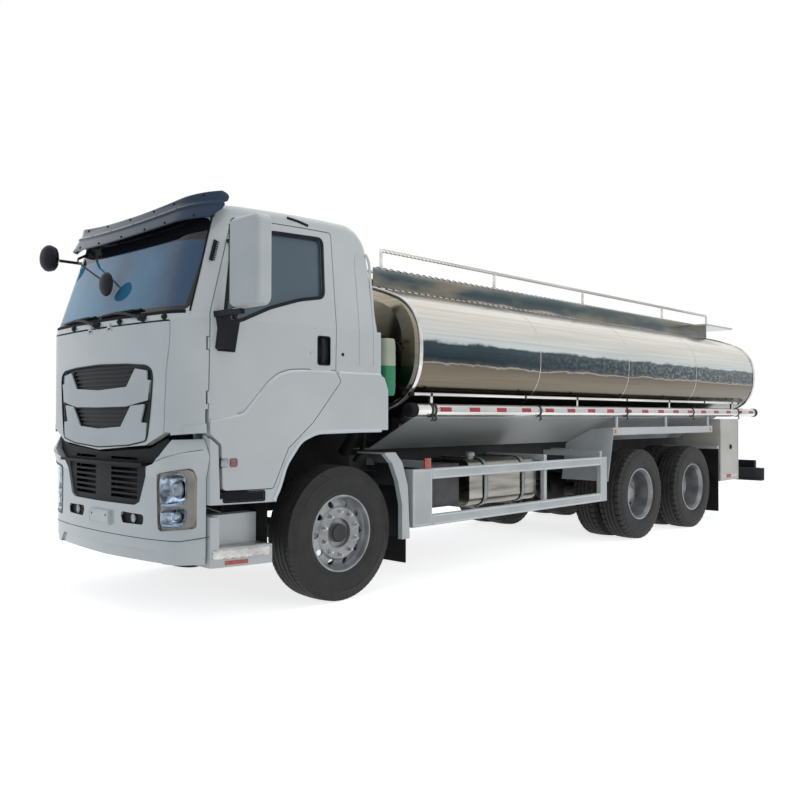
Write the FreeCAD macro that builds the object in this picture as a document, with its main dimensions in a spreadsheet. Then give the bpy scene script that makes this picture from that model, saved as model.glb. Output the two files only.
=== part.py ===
import FreeCAD, Part
import Sketcher
import math
import os
from FreeCAD import Vector

# Tanker truck, millimetres, +X forwards, +Y to the driver's left, +Z up.
# Every piece is drawn from the front axle's centre line on the ground and is then
# moved by FrontAxleX, which puts the origin at the middle of the whole vehicle.

SIZES = [
    ("FrontReach", 1430, "front axle to the front of the bumper"),
    ("RearReach", 8390, "front axle to the back of the underrun bar"),
    ("WheelBase", 4600, "front axle to first rear axle"),
    ("BogieSpread", 1370, "first rear axle to second rear axle"),
    ("RunGap", 0.3, "clearance at a seat and at a turning fit"),
    ("DoorGap", 6.5, "shut line round doors and flaps"),
    ("TyreRadius", 525, "outer radius of every tyre"),
    ("TyreWidth", 296, "section width of every tyre"),
    ("TreadWidth", 236, "width of the flat tread"),
    ("SeatRadius", 286, "rim seat that carries the tyre bead"),
    ("SeatWidth", 228, "distance between the rim flanges"),
    ("FlangeHeight", 12, "rim flange above the seat"),
    ("FlangeThick", 13, "rim flange thickness"),
    ("FrontTyreY", 1034, "middle of a front tyre"),
    ("TwinOuterY", 1092, "middle of an outer rear tyre"),
    ("TwinPitch", 336, "distance between twin tyres"),
    ("DiscThick", 14, "thickness of a wheel disc"),
    ("StudCircle", 167.5, "radius of the wheel stud circle"),
    ("HandHole", 26, "radius of a hand hole in a wheel disc"),
    ("HandHoleCircle", 232, "radius of the circle of hand holes"),
    ("SpindleRadius", 35, "front stub axle"),
    ("RearSpindleRadius", 45, "rear stub axle"),
    ("KingpinY", 830, "kingpin axis from the middle of the axle"),
    ("KingpinRadius", 22, "kingpin"),
    ("SteerArm", 210, "kingpin to tie rod pin"),
    ("TieRodZ", 380, "height of the tie rod"),
    ("BallPinRadius", 12, "tie rod pin"),
    ("RailOuterY", 425, "outer face of a main rail"),
    ("RailHeight", 280, "main rail depth"),
    ("RailTopZ", 1080, "top of the main rails"),
    ("RailFlange", 80, "main rail flange width"),
    ("RailWeb", 10, "main rail plate thickness"),
    ("RailFrontX", 1220, "front end of the main rails"),
    ("RailRearX", 8050, "front axle to the rear end of the rails"),
    ("SpringY", 430, "middle of the leaf springs"),
    ("SpringWidth", 90, "leaf width"),
    ("AxleTube", 75, "rear axle tube radius"),
    ("CabNose", 1395, "front axle to the middle of the cab front"),
    ("CabHalf", 1241, "half width of the cab at the belt"),
    ("CabBack", 335, "front axle back to the cab's rear wall"),
    ("CabLowZ", 825, "bottom edge of the cab side"),
    ("CabFloorZ", 1320, "underside of the cab floor"),
    ("CabFloorThick", 60, "cab floor"),
    ("BeltZ", 2100, "height of the belt line"),
    ("RoofZ", 2940, "top of the roof"),
    ("RoofHalf", 1144, "half width at the roof"),
    ("RoofNose", 1143, "front of the roof"),
    ("RoofBack", 240, "rear of the roof"),
    ("RoofEdge", 70, "radius of the roof edge"),
    ("NoseRadius", 7000, "plan radius of the cab front"),
    ("CornerAngle", 75, "where the front corner meets the side sweep"),
    ("SweepRadius", 3400, "plan radius of the side ahead of the door"),
    ("CornerSpan", 421, "width from the front curve's end to the side"),
    ("CabWall", 60, "cab wall"),
    ("DoorWall", 70, "door thickness"),
    ("FirewallX", 1150, "inner face of the wall below the screen"),
    ("PanelBayX", 1190, "bottom of the bay behind the front flap"),
    ("PanelWall", 55, "front flap thickness"),
    ("GlassWall", 8, "glass thickness"),
    ("BumperRearX", 1157, "rear edge of the bumper's side"),
    ("BumperWall", 48, "bumper wall"),
    ("BumperInset", 23, "bumper face behind the line of the cab front"),
    ("PlateHalf", 153, "half width of the plinth for a plate"),
    ("PlateLowZ", 630, "bottom of the plinth"),
    ("PlateHighZ", 735, "top of the plinth"),
    ("LedgeZ", 1078, "underside of the lower grille's ledge"),
    ("RoofRearEdge", 240, "radius of the roof's rear edge"),
    ("CreaseProud", 12, "how far the side stands proud below the crease"),
    ("CreaseZ", 1760, "height of the crease at the rear"),
    ("BumperLowZ", 400, "bottom of the bumper"),
    ("TankHalfWidth", 1240, "half width of the tank"),
    ("TankHalfHeight", 658, "half height of the tank"),
    ("TankCrown", 2500, "radius of the tank's top and bottom"),
    ("TankCorner", 430, "radius of the tank's shoulders"),
    ("TankSide", 1200, "radius of the tank's sides"),
    ("TankMidZ", 2003, "height of the tank's middle"),
    ("TankFrontX", 810, "front axle to the front ring of the tank"),
    ("TankRearX", 7930, "front axle to the rear ring of the tank"),
    ("TankDish", 160, "depth of a dished end"),
    ("GuardY", 450, "splash guards from the middle"),
    ("GuardTopZ", 2805, "top of the splash guards"),
    ("GuardFrontX", 1000, "front axle to the front of the walkway"),
    ("GuardRearX", 8090, "front axle to the rear of the walkway"),
    ("WalkwayZ", 2700, "top of the walkway plate"),
    ("SheetThick", 8, "plate thickness of sheet pieces"),
    ("HandRailZ", 2975, "middle of the hand rail"),
    ("HandRailTube", 16, "radius of the hand rail tube"),
    ("HandRailFrontX", 1100, "front axle to the first rail post"),
    ("ManholeRadius", 225, "bore of a manhole"),
    ("ManholeDepth", 330, "depth of the well under a manhole"),
    ("ManholeTopZ", 2745, "top of a manhole neck"),
    ("ManholeOneX", 2800, "front axle to the first manhole"),
    ("ManholeTwoX", 5900, "front axle to the second manhole"),
    ("LidThick", 22, "manhole lid"),
    ("HoseTubeRadius", 57, "radius of the hose tube"),
    ("HoseTubeY", 1180, "middle of the hose tube"),
    ("HoseTubeZ", 1485, "height of the hose tube"),
    ("HoseFrontX", 710, "front axle to the front cap of the hose tube"),
    ("HoseRearX", 8090, "front axle to the rear cap of the hose tube"),
    ("GrabRadius", 17, "radius of the grab rail"),
    ("GrabY", 1172, "middle of the grab rail"),
    ("GrabZ", 1620, "height of the grab rail"),
    ("GrabFrontX", 740, "front axle to the front of the grab rail"),
    ("GrabRearX", 7530, "front axle to the rear of the grab rail"),
    ("SkirtLowZ", 1135, "bottom of the tank skirt"),
    ("SkirtInnerY", 625, "where the tank skirt turns in"),
    ("SkirtRearX", 6770, "front axle to the rear of the skirt"),
    ("SideGuardY", 1220, "outer face of the side guards"),
    ("SideGuardFrontX", 730, "front axle to the front of the side guard"),
    ("SideGuardRearX", 3840, "front axle to the rear of the side guard"),
    ("SideGuardLowZ", 500, "bottom of the side guard"),
    ("SideGuardTopZ", 985, "top of the side guard"),
    ("SideGuardRail", 90, "height of a side guard rail"),
    ("SideGuardDepth", 45, "depth of a side guard rail"),
    ("FuelFrontX", 1600, "front axle to the front of the fuel tank"),
    ("FuelLength", 1050, "length of the fuel tank"),
    ("FuelOuterY", 1110, "outer side of the fuel tank"),
    ("FuelInnerY", 500, "inner side of the fuel tank"),
    ("FuelLowZ", 600, "bottom of the fuel tank"),
    ("FuelTopZ", 1030, "top of the fuel tank"),
    ("FuelRound", 90, "edge radius of the fuel tank"),
    ("MudguardFrontX", 3990, "front axle to the front of the rear mudguard"),
    ("MudguardRearX", 6555, "front axle to the rear of the rear mudguard"),
    ("MudguardTopZ", 1305, "top of the rear mudguard's bar"),
    ("CabinetFrontX", 6790, "front axle to the front of the cabinet"),
    ("CabinetLength", 600, "length of the cabinet"),
    ("CabinetLowZ", 550, "bottom of the cabinet"),
    ("CabinetTopZ", 1395, "top of the cabinet"),
    ("CabinetInnerY", 700, "inner side of the cabinet"),
    ("CabinetOuterY", 1236, "outer face of the cabinet's door"),
    ("CabinetWall", 25, "cabinet wall and door"),
    ("UnderrunLowZ", 470, "bottom of the underrun bar"),
    ("UnderrunHeight", 190, "height of the underrun bar"),
    ("UnderrunHalf", 1220, "half length of the underrun bar"),
    ("UnderrunDepth", 120, "depth of the underrun bar"),
    ("PlatformHalf", 750, "half width of the rear landing"),
    ("PlatformFrontX", 7430, "front axle to the front of the landing"),
    ("PlatformRearX", 8360, "front axle to the rear of the landing"),
    ("LadderHalf", 200, "half width of the ladder"),
    ("LadderTube", 18, "radius of the ladder's tubes"),
    ("RungPitch", 300, "distance between rungs"),
    ("CouplingZ", 940, "centre of the coupling bolts"),
    ("CouplingSpanY", 160, "coupling bolts apart across the truck"),
    ("CouplingSpanZ", 100, "coupling bolts apart in height"),
    ("CouplingHole", 8.5, "coupling bolt hole radius"),
    ("OutletRadius", 50, "discharge outlet bore radius"),
    ("OutletDepth", 120, "discharge outlet bore depth"),
    ("OutletZ", 730, "discharge outlet height"),
]

doc = FreeCAD.newDocument("TankerTruck")
sheet = doc.addObject("Spreadsheet::Sheet", "Sizes")
for row, (alias, value, note) in enumerate(SIZES, start=1):
    sheet.set(f"A{row}", alias)
    sheet.set(f"B{row}", str(value))
    sheet.set(f"C{row}", note)
    sheet.setAlias(f"B{row}", alias)
doc.recompute()


class Dim:
    """A length that knows its value and the sheet expression that gives it."""

    def __init__(self, value, text=None):
        self.value = float(value)
        self.text = text or f"{float(value):g}"

    def __float__(self):
        return self.value

    def __add__(self, other):
        other = as_dim(other)
        return Dim(self.value + other.value, f"({self.text} + {other.text})")

    def __sub__(self, other):
        other = as_dim(other)
        return Dim(self.value - other.value, f"({self.text} - {other.text})")

    def __mul__(self, other):
        other = as_dim(other)
        return Dim(self.value * other.value, f"({self.text} * {other.text})")

    def __truediv__(self, other):
        other = as_dim(other)
        return Dim(self.value / other.value, f"({self.text} / {other.text})")

    def __radd__(self, other):
        return as_dim(other) + self

    def __rsub__(self, other):
        return as_dim(other) - self

    def __rmul__(self, other):
        return as_dim(other) * self

    def __neg__(self):
        return Dim(-self.value, f"(0 - {self.text})")


def as_dim(length):
    return length if isinstance(length, Dim) else Dim(length)


class SheetSizes:
    """size.TyreRadius reads the cell with that alias."""

    def __getattr__(self, alias):
        return Dim(float(sheet.get(alias)), f"Sizes.{alias}")


size = SheetSizes()
front_axle_x = (size.RearReach - size.FrontReach) / 2
axle_z = size.TyreRadius
nodes = []


# Ways of making a piece

def bind(obj, prop, length):
    obj.setExpression(prop, as_dim(length).text)


def node(obj, label, x=0, z=0):
    """Names a finished piece and moves it from the front axle's frame."""
    obj.Label = label
    bind(obj, "Placement.Base.x", front_axle_x + x)
    bind(obj, "Placement.Base.z", z)
    nodes.append(obj)
    return obj


def box(x0, x1, y0, y1, z0, z1):
    """A block between two corners."""
    block = doc.addObject("Part::Box", "Block")
    for prop, low, high, place in (("Length", x0, x1, "x"), ("Width", y0, y1, "y"), ("Height", z0, z1, "z")):
        bind(block, prop, as_dim(high) - as_dim(low))
        bind(block, f"Placement.Base.{place}", low)
    return block


TURNS = {"x": (Vector(0, 1, 0), 90), "y": (Vector(1, 0, 0), -90), "z": (Vector(0, 0, 1), 0)}


def rod(axis, start, length, radius, x=0, y=0, z=0):
    """A cylinder along an axis; start is its first end along that axis."""
    cylinder = doc.addObject("Part::Cylinder", "Rod")
    bind(cylinder, "Radius", radius)
    bind(cylinder, "Height", length)
    turn, degrees = TURNS[axis]
    cylinder.Placement = FreeCAD.Placement(Vector(), FreeCAD.Rotation(turn, degrees))
    ends = {"x": x, "y": y, "z": z}
    ends[axis] = start
    for name, at in ends.items():
        bind(cylinder, f"Placement.Base.{name}", at)
    return cylinder


def ball(radius, x=0, y=0, z=0):
    sphere = doc.addObject("Part::Sphere", "Ball")
    bind(sphere, "Radius", radius)
    for name, at in (("x", x), ("y", y), ("z", z)):
        bind(sphere, f"Placement.Base.{name}", at)
    return sphere


def fuse(*pieces):
    joined = doc.addObject("Part::MultiFuse", "Joined")
    joined.Shapes = list(pieces)
    joined.Refine = True
    return joined


def cut(base, *tools):
    result = doc.addObject("Part::Cut", "Cut")
    result.Base = base
    result.Tool = tools[0] if len(tools) == 1 else fuse(*tools)
    return result


def group(*pieces):
    """Like pieces that stay separate solids in one node."""
    together = doc.addObject("Part::Compound", "Group")
    together.Links = list(pieces)
    return together


def mirrored(piece):
    """The same piece on the other side of the vehicle."""
    twin = doc.addObject("Part::Mirroring", "Twin")
    twin.Source = piece
    twin.Normal = Vector(0, 1, 0)
    return twin


def pair(piece):
    return group(piece, mirrored(piece))


PLANES = {"xy": "XY_Plane", "xz": "XZ_Plane", "yz": "YZ_Plane"}


def outline_sketch(body, plane, corners, offset=0):
    """A closed loop of straight edges, each corner held by two bound dimensions."""
    sketch = body.newObject("Sketcher::SketchObject", "Outline")
    origin_plane = next(f for f in body.Origin.OriginFeatures if f.Role == PLANES[plane])
    sketch.AttachmentSupport = [(origin_plane, "")]
    sketch.MapMode = "FlatFace"
    bind(sketch, "AttachmentOffset.Base.z", offset)
    points = [Vector(float(u), float(v), 0) for u, v in corners]
    count = len(points)
    edges = [Part.LineSegment(points[i], points[(i + 1) % count]) for i in range(count)]
    sketch.addGeometry(edges, False)
    joints = [Sketcher.Constraint("Coincident", i, 2, (i + 1) % count, 1) for i in range(count)]
    sketch.addConstraint(joints)
    for i, (u, v) in enumerate(corners):
        for kind, length in (("DistanceX", u), ("DistanceY", v)):
            length = as_dim(length)
            index = sketch.addConstraint(Sketcher.Constraint(kind, -1, 1, i, 1, length.value))
            sketch.setExpression(f"Constraints[{index}]", length.text)
    return sketch


def pad(plane, corners, start, end):
    """A profile carried along the axis across its plane, from start to end."""
    body = doc.addObject("PartDesign::Body", "Profile")
    start, end = as_dim(start), as_dim(end)
    offset = -end if plane == "xz" else start
    sketch = outline_sketch(body, plane, corners, offset)
    feature = body.newObject("PartDesign::Pad", "Pad")
    feature.Profile = sketch
    sketch.Visibility = False
    bind(feature, "Length", end - start)
    return body


def spun(corners):
    """A profile of (radius, y) corners turned about the Y axis."""
    body = doc.addObject("PartDesign::Body", "Turned")
    sketch = outline_sketch(body, "xy", corners)
    feature = body.newObject("PartDesign::Revolution", "Revolution")
    feature.Profile = sketch
    feature.ReferenceAxis = (sketch, ["V_Axis"])
    feature.Angle = 360
    return body


def shaped(shape, label):
    """A piece whose form is worked out below from the sheet's sizes."""
    piece = doc.addObject("Part::Feature", "Shaped")
    piece.Shape = shape
    return node(piece, label)


# Shapes for the pieces that no feature fits

def block_shape(x0, x1, y0, y1, z0, z1):
    low = Vector(float(x0), float(y0), float(z0))
    return Part.makeBox(float(x1) - low.x, float(y1) - low.y, float(z1) - low.z, low)


STRAIGHT = math.radians(89)


def round_loop(points, radius):
    """Edges of a closed loop of 3-D points with its corners rounded."""
    count = len(points)
    entries, leaves, mids = [], [], []
    for i, corner in enumerate(points):
        back = points[i - 1] - corner
        ahead = points[(i + 1) % count] - corner
        half = back.getAngle(ahead) / 2
        if half > STRAIGHT:
            entries.append(corner)
            leaves.append(corner)
            mids.append(None)
            continue
        reach = min(radius / math.tan(half), 0.45 * back.Length, 0.45 * ahead.Length)
        true_radius = reach * math.tan(half)
        back.normalize()
        ahead.normalize()
        entries.append(corner + back * reach)
        leaves.append(corner + ahead * reach)
        middle = (back + ahead).normalize()
        mids.append(corner + middle * (true_radius / math.sin(half) - true_radius))
    edges = []
    for i in range(count):
        if mids[i]:
            edges.append(Part.Arc(entries[i], mids[i], leaves[i]).toShape())
        edges.append(Part.makeLine(leaves[i], entries[(i + 1) % count]))
    return Part.Wire(edges)


def side_prism(outline, radius, y0, y1):
    """A side-view outline of (x, z) points carried across from y0 to y1."""
    points = [Vector(float(x), float(y0), float(z)) for x, z in outline]
    face = Part.Face(round_loop(points, radius))
    return face.extrude(Vector(0, float(y1) - float(y0), 0))


def front_prism(outline, radius, x0, x1):
    """A front-view outline of (y, z) points carried forwards from x0 to x1."""
    points = [Vector(float(x0), float(y), float(z)) for y, z in outline]
    face = Part.Face(round_loop(points, radius))
    return face.extrude(Vector(float(x1) - float(x0), 0, 0))


def both_halves(outline):
    """A front-view outline given for y >= 0, from its low middle to its high middle."""
    return list(outline) + [(-y, z) for y, z in reversed(outline) if float(y) > 0]


def grown(outline, step):
    """The outline moved outwards by step, corner by corner."""
    flat = [Vector(float(u), float(v), 0) for u, v in outline]
    wire = Part.makePolygon(flat + flat[:1])
    moved = wire.makeOffset2D(step, join=2)
    return [(vertex.Point.x, vertex.Point.y) for vertex in moved.OrderedVertexes]


def mirror_shape(shape):
    return shape.mirror(Vector(0, 0, 0), Vector(0, 1, 0))


# Plan outline of the cab: a shallow front curve, a tight corner, a long side sweep

def cab_plan(nose, half, back, height, inset):
    sweep = float(size.SweepRadius) - inset
    meet = math.radians(float(size.CornerAngle))
    front_radius = float(size.NoseRadius)
    front_y = half - float(size.CornerSpan)
    end = math.asin(front_y / front_radius)
    side_gain = float(size.SweepRadius) * (1 - math.sin(meet))
    corner = (half - front_y - side_gain) / (math.sin(meet) - math.sin(end))
    front_centre = Vector(nose - front_radius, 0, height)
    corner_centre = front_centre + Vector(math.cos(end), math.sin(end), 0) * (front_radius - corner)
    sweep_centre = corner_centre + Vector(math.cos(meet), math.sin(meet), 0) * (corner - float(size.SweepRadius))
    quarter = math.pi / 2

    def on(centre, radius, angle):
        return centre + Vector(math.cos(angle), math.sin(angle), 0) * radius

    front_end = on(front_centre, front_radius - inset, end)
    corner_mid = on(corner_centre, corner - inset, (end + meet) / 2)
    corner_end = on(corner_centre, corner - inset, meet)
    sweep_mid = on(sweep_centre, sweep, (meet + quarter) / 2)
    sweep_end = on(sweep_centre, sweep, quarter)
    back_corner = Vector(inset - back, half - inset, height)

    def far(point):
        return Vector(point.x, -point.y, point.z)

    front_mid = Vector(nose - inset, 0, height)
    return Part.Wire([
        Part.Arc(far(front_end), front_mid, front_end).toShape(),
        Part.Arc(front_end, corner_mid, corner_end).toShape(),
        Part.Arc(corner_end, sweep_mid, sweep_end).toShape(),
        Part.makeLine(sweep_end, back_corner),
        Part.makeLine(back_corner, far(back_corner)),
        Part.makeLine(far(back_corner), far(sweep_end)),
        Part.Arc(far(sweep_end), far(sweep_mid), far(corner_end)).toShape(),
        Part.Arc(far(corner_end), far(corner_mid), far(front_end)).toShape(),
    ])


cab_forms = {}


def roof_side_edges(upper, roof, rear_radius):
    """The roof's front and side edges with the two arcs that run down behind."""
    picked = []
    for edge in upper.Edges:
        middle = edge.CenterOfMass
        flat = min(v.Z for v in edge.Vertexes) > roof - 1
        if flat and (abs(middle.y) > 900 or middle.x > 500):
            picked.append(edge)
        elif not flat and abs(middle.y) > 900 and middle.x < -20 and middle.z > roof - rear_radius - 1:
            if min(v.Z for v in edge.Vertexes) > roof - rear_radius - 12:
                picked.append(edge)
    return picked


def cab_form(inset, low=None):
    """The cab's outer form, set in by inset: upright to the belt, leaning in above it."""
    low = float(size.CabLowZ) if low is None else low
    if (inset, low) not in cab_forms:
        belt = float(size.BeltZ)
        nose, half, back = float(size.CabNose), float(size.CabHalf), float(size.CabBack)
        lower = Part.Face(cab_plan(nose, half, back, low, inset)).extrude(Vector(0, 0, belt - low))
        base = cab_plan(nose, half, back, belt, inset)
        share = 1 - inset / (float(size.RoofZ) - belt)
        top = cab_plan(nose + (float(size.RoofNose) - nose) * share,
                       half + (float(size.RoofHalf) - half) * share,
                       back + (float(size.RoofBack) - back) * share,
                       float(size.RoofZ) - inset, inset)
        upper = Part.makeLoft([base, top], True, True)
        roof = float(size.RoofZ) - inset
        top_edges = [e for e in upper.Edges if min(v.Z for v in e.Vertexes) > roof - 1]
        rear_x = min(e.CenterOfMass.x for e in top_edges)
        rear_edge = [e for e in top_edges if e.CenterOfMass.x < rear_x + 1]
        rear_radius = float(size.RoofRearEdge) - inset
        upper = upper.makeFillet(rear_radius, rear_edge)
        radius = float(size.RoofEdge) - inset
        if radius > 5:
            upper = upper.makeFillet(radius, roof_side_edges(upper, roof, rear_radius))
        cab_forms[(inset, low)] = lower.fuse(upper)
    return cab_forms[(inset, low)]


# Cab outlines in the side view (x, z) and the front view (y, z), read from the front axle

DOOR = [(1075, 915), (1086, 1235), (1156, 1305), (1161, 1410), (1152, 2130), (930, 2840), (120, 2840),
        (137, 1762), (92, 1695), (367, 1380), (576, 1199), (700, 915)]
DOOR_WINDOW = [(1060, 2072), (925, 2762), (212, 2775), (240, 2325), (460, 2286), (711, 2206), (946, 2095)]
ARCH = [(705, 700), (657, 909), (600, 1085), (474, 1255), (330, 1312), (-60, 1319), (-700, 1319), (-700, 700)]
SCREEN = both_halves([(0, 2150), (1008, 2150), (945, 2835), (0, 2845)])
FLAP = both_halves([(0, 1172), (640, 1216), (842, 1300), (864, 1753), (893, 1940), (894, 2094), (0, 2094)])
CREASE = [(1400, 1338), (1165, 1384), (916, 1440), (744, 1652), (655, 1722), (560, 1752), (440, 1760), (-900, 1760),
          (-900, 700), (1400, 700)]
BUMPER = both_halves([(0, 400), (900, 412), (1260, 430), (1260, 1283), (1200, 1279), (868, 1268), (0, 1268)])
LOWER_GRILLE = both_halves([(0, 795), (470, 798), (530, 828), (632, 1082), (720, 1102), (810, 1166), (850, 1258),
                            (832, 1280), (640, 1204), (0, 1164)])
NOSE_GAP = both_halves([(0, 794.7), (471, 797.7), (533, 825), (636, 1079), (722, 1099), (816, 1164), (876, 1290),
                        (0, 1290)])
GRILLE_SLOTS = [(838, 862), (878, 902), (918, 942), (958, 982), (998, 1022), (1036, 1060), (1116, 1136)]
LIP_RECESS = both_halves([(0, 300), (795, 300), (787, 428), (708, 496), (0, 486)])
BUMPER_FORM = [(400, 8), (480, 0), (1010, -3), (1142, -38), (1170, -34), (1296, 30)]
HEAD_LAMP = [(752, 632), (738, 1031), (1040, 1080), (1036, 667)]
FOG_LAMP = [(312, 660), (275, 742), (585, 736), (574, 664)]
SHELL_FOOT = [(0, 1200), (640, 1250), (826, 1312), (850, 1296), (1300, 1345)]


DOOR_HINGE_X = 1157
DOOR_HINGE_Y = 1095
DOOR_HINGES = (1560, 1930)
CREASE_DEPTH = 30


def main_solid(shape):
    """The largest solid of a shape, without stray slivers."""
    return max(shape.Solids, key=lambda solid: solid.Volume)


def crease_slice(depth):
    """The left side's skin below the crease, standing proud of the form above it."""
    skin = cab_form(-float(size.CreaseProud)).cut(cab_form(depth))
    ahead = block_shape(-float(size.CabBack), 1500, 700, 2000, 0, 3000)
    return skin.common(ahead).common(side_prism(CREASE, 30, 700, 2000)).cut(front_prism(NOSE_FREE, 5, 900, 2000))


NOSE_FREE = both_halves([(0, 0), (1000, 0), (1000, 3000), (0, 3000)])


def rear_extension():
    """The left rear corner's lower part, which reaches back beyond the wall."""
    back, half = -float(size.CabBack), float(size.CabHalf)
    outline = [(back, 1322), (back, 1756), (back - 35, 1738), (back - 75, 1640), (back - 75, 1322)]
    side = Part.Face(round_loop([Vector(x, 950, z) for x, z in outline], 8)).extrude(Vector(0, 1000, 0))
    return side.common(block_shape(-1000, 0, 950, half + 8, 1322, 1756)).fuse(
        block_shape(back, back + 40, 950, half - 1, 1322, 1700))


def cab_shell():
    """Walls, roof and floor in one, with the door, window and flap openings cut."""
    wall = float(size.CabWall)
    low, floor = float(size.CabLowZ), float(size.CabFloorZ)
    floor_top = floor + float(size.CabFloorThick)
    belt, half = float(size.BeltZ), float(size.CabHalf)
    body = cab_form(0)
    room = cab_form(wall)
    deep = 5000
    firewall = float(size.FirewallX)
    under_floor = block_shape(-deep, deep, -deep, deep, 0, floor_top)
    ahead_of_wall = block_shape(firewall, deep, -deep, deep, 0, belt)
    body = body.cut(room.cut(under_floor).cut(ahead_of_wall))
    jamb = cab_form(wall - 2).cut(cab_form(float(size.DoorWall) + 14))
    ring = side_prism(grown(DOOR, 20), 30, 700, deep).cut(side_prism(grown(DOOR, -28), 30, 600, deep + 100))
    proud = crease_slice(CREASE_DEPTH)
    extension = rear_extension()
    body = body.fuse([proud, mirror_shape(proud), extension, mirror_shape(extension)])
    for side in (1, -1):
        frame = jamb.common(ring if side == 1 else mirror_shape(ring))
        body = body.fuse(frame)
    engine_bay = block_shape(-deep, deep, -900, 900, 0, floor)
    foot = [(y, z) for y, z in SHELL_FOOT]
    nose_foot = both_halves([(0, 0), (1400, 0), (1400, 1345)] + foot[::-1][1:])
    under_nose = front_prism(nose_foot, 1, firewall + 2, deep)
    bay = front_prism(FLAP, 20, float(size.PanelBayX), deep)
    screen = front_prism(SCREEN, 60, 800, deep)
    body = body.cut(engine_bay).cut(under_nose).cut(bay).cut(screen)
    behind_door = cab_form(float(size.DoorWall) + float(size.RunGap))
    doorway = cab_form(-30).cut(behind_door)
    swing = Part.makeCylinder(168, 1340, Vector(DOOR_HINGE_X, DOOR_HINGE_Y, 1220)).common(behind_door)
    swing = swing.common(block_shape(0, 1162, 0, 2000, 1220, 2560))
    relief = side_prism(grown(DOOR, 15), 30, 600, deep).common(block_shape(1000, 1300, 600, 2000, 800, 1480))
    relief = relief.common(cab_form(-30)).cut(low_form(42))
    swing = swing.fuse(relief)
    for side in (1, -1):
        opening = side_prism(DOOR, 30, 600, deep)
        through = side_prism(grown(DOOR, -28), 30, 600, deep)
        well = block_shape(700, firewall - wall, 930, half - wall, low + 40, floor_top + 5)
        if side == -1:
            opening, through, well = mirror_shape(opening), mirror_shape(through), mirror_shape(well)
        upper_way = through.cut(under_floor)
        body = body.cut(doorway.common(opening)).cut(upper_way).cut(well)
        body = body.cut(through.common(doorway)).cut(swing if side == 1 else mirror_shape(swing))
        for z in DOOR_HINGES:
            pocket = block_shape(1142, 1172, 1072, 1130, z - 46, z + 46)
            body = body.cut(pocket if side == 1 else mirror_shape(pocket))
    body = body.cut(side_prism(ARCH, 40, -deep, deep))
    return body


def door_shape():
    """Left door: a slice of the cab's form with its window cut."""
    skin = cab_form(0).cut(cab_form(float(size.DoorWall))).fuse(crease_slice(CREASE_DEPTH))
    outline = grown(DOOR, -float(size.DoorGap))
    door = skin.common(side_prism(outline, 26, 600, 5000))
    door = door.cut(side_prism(DOOR_WINDOW, 45, 600, 5000))
    recess = side_prism([(318, 1815), (318, 2028), (196, 2028), (196, 1815)], 22, 600, 5000)
    door = door.cut(recess.cut(cab_form(26)))
    barrels = []
    for z in DOOR_HINGES:
        barrels.append(Part.makeCylinder(7, 80, Vector(DOOR_HINGE_X, DOOR_HINGE_Y, z - 40)))
        barrels.append(block_shape(1134, DOOR_HINGE_X, 1084, DOOR_HINGE_Y, z - 40, z + 40))
    return main_solid(door.fuse(barrels))


def door_glass_shape():
    pane = cab_form(22).cut(cab_form(22 + float(size.GlassWall)))
    return main_solid(pane.common(side_prism(DOOR_WINDOW, 45, 600, 5000)))


# Front flap, grille, bumper, lamps and screen: slices of the same form

def slice_of(outer, inner, prism, ahead=800):
    """The part of the wall between two insets that lies inside a prism."""
    shell = cab_form(outer, SLICE_LOW).cut(cab_form(inner, SLICE_LOW))
    front_half = block_shape(ahead, 5000, -5000, 5000, 0, 5000)
    return shell.common(front_half).common(prism)


def low_form(inset):
    """The cab's upright form below the belt, without the part that leans in."""
    plan = cab_plan(float(size.CabNose), float(size.CabHalf), float(size.CabBack), SLICE_LOW, inset)
    return Part.Face(plan).extrude(Vector(0, 0, float(size.BeltZ) - SLICE_LOW))


def low_slice(outer, inner, prism, ahead=800):
    """The same slice taken from the upright form."""
    front_half = block_shape(ahead, 5000, -5000, 5000, 0, 5000)
    return low_form(outer).cut(low_form(inner)).common(front_half).common(prism)


SLICE_LOW = 300
HINGE_X = 1393
HINGE_Z = 2086
HINGE_Y = 150
HINGE_PIN = 4
FLAP_TOP = 2082
NOTCH_HALF = 22
LUG_HALF = 16
LUG_REACH = 8
FLAP_SWING = [(0, 1000), (1000, 1000), (1000, 1370), (838, 1313), (636, 1228), (0, 1180)]
GRILLE_TOP = both_halves([(0, 1200), (425, 1222), (640, 1256), (660, 1300), (694, 1500), (714, 1690), (704, 1752),
                          (640, 1786), (400, 1803), (0, 1812)])
UPPER_BAND = [(0, 1494), (390, 1498), (668, 1542), (700, 1682), (650, 1684), (650, 1750), (505, 1768), (395, 1640),
              (0, 1622)]
LOWER_BAND = [(0, 1203), (424, 1225), (637, 1259), (648, 1384), (577, 1386), (624, 1516), (452, 1504), (322, 1354),
              (0, 1336)]
DARK_UPPER = [(0, 1628), (392, 1646), (500, 1772), (400, 1796), (0, 1804)]
DARK_LOWER = [(0, 1342), (318, 1360), (440, 1492), (0, 1486)]


def hinge_rod(radius, half, y):
    return Part.makeCylinder(radius, 2 * half, Vector(HINGE_X, y - half, HINGE_Z), Vector(0, 1, 0))


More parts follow.
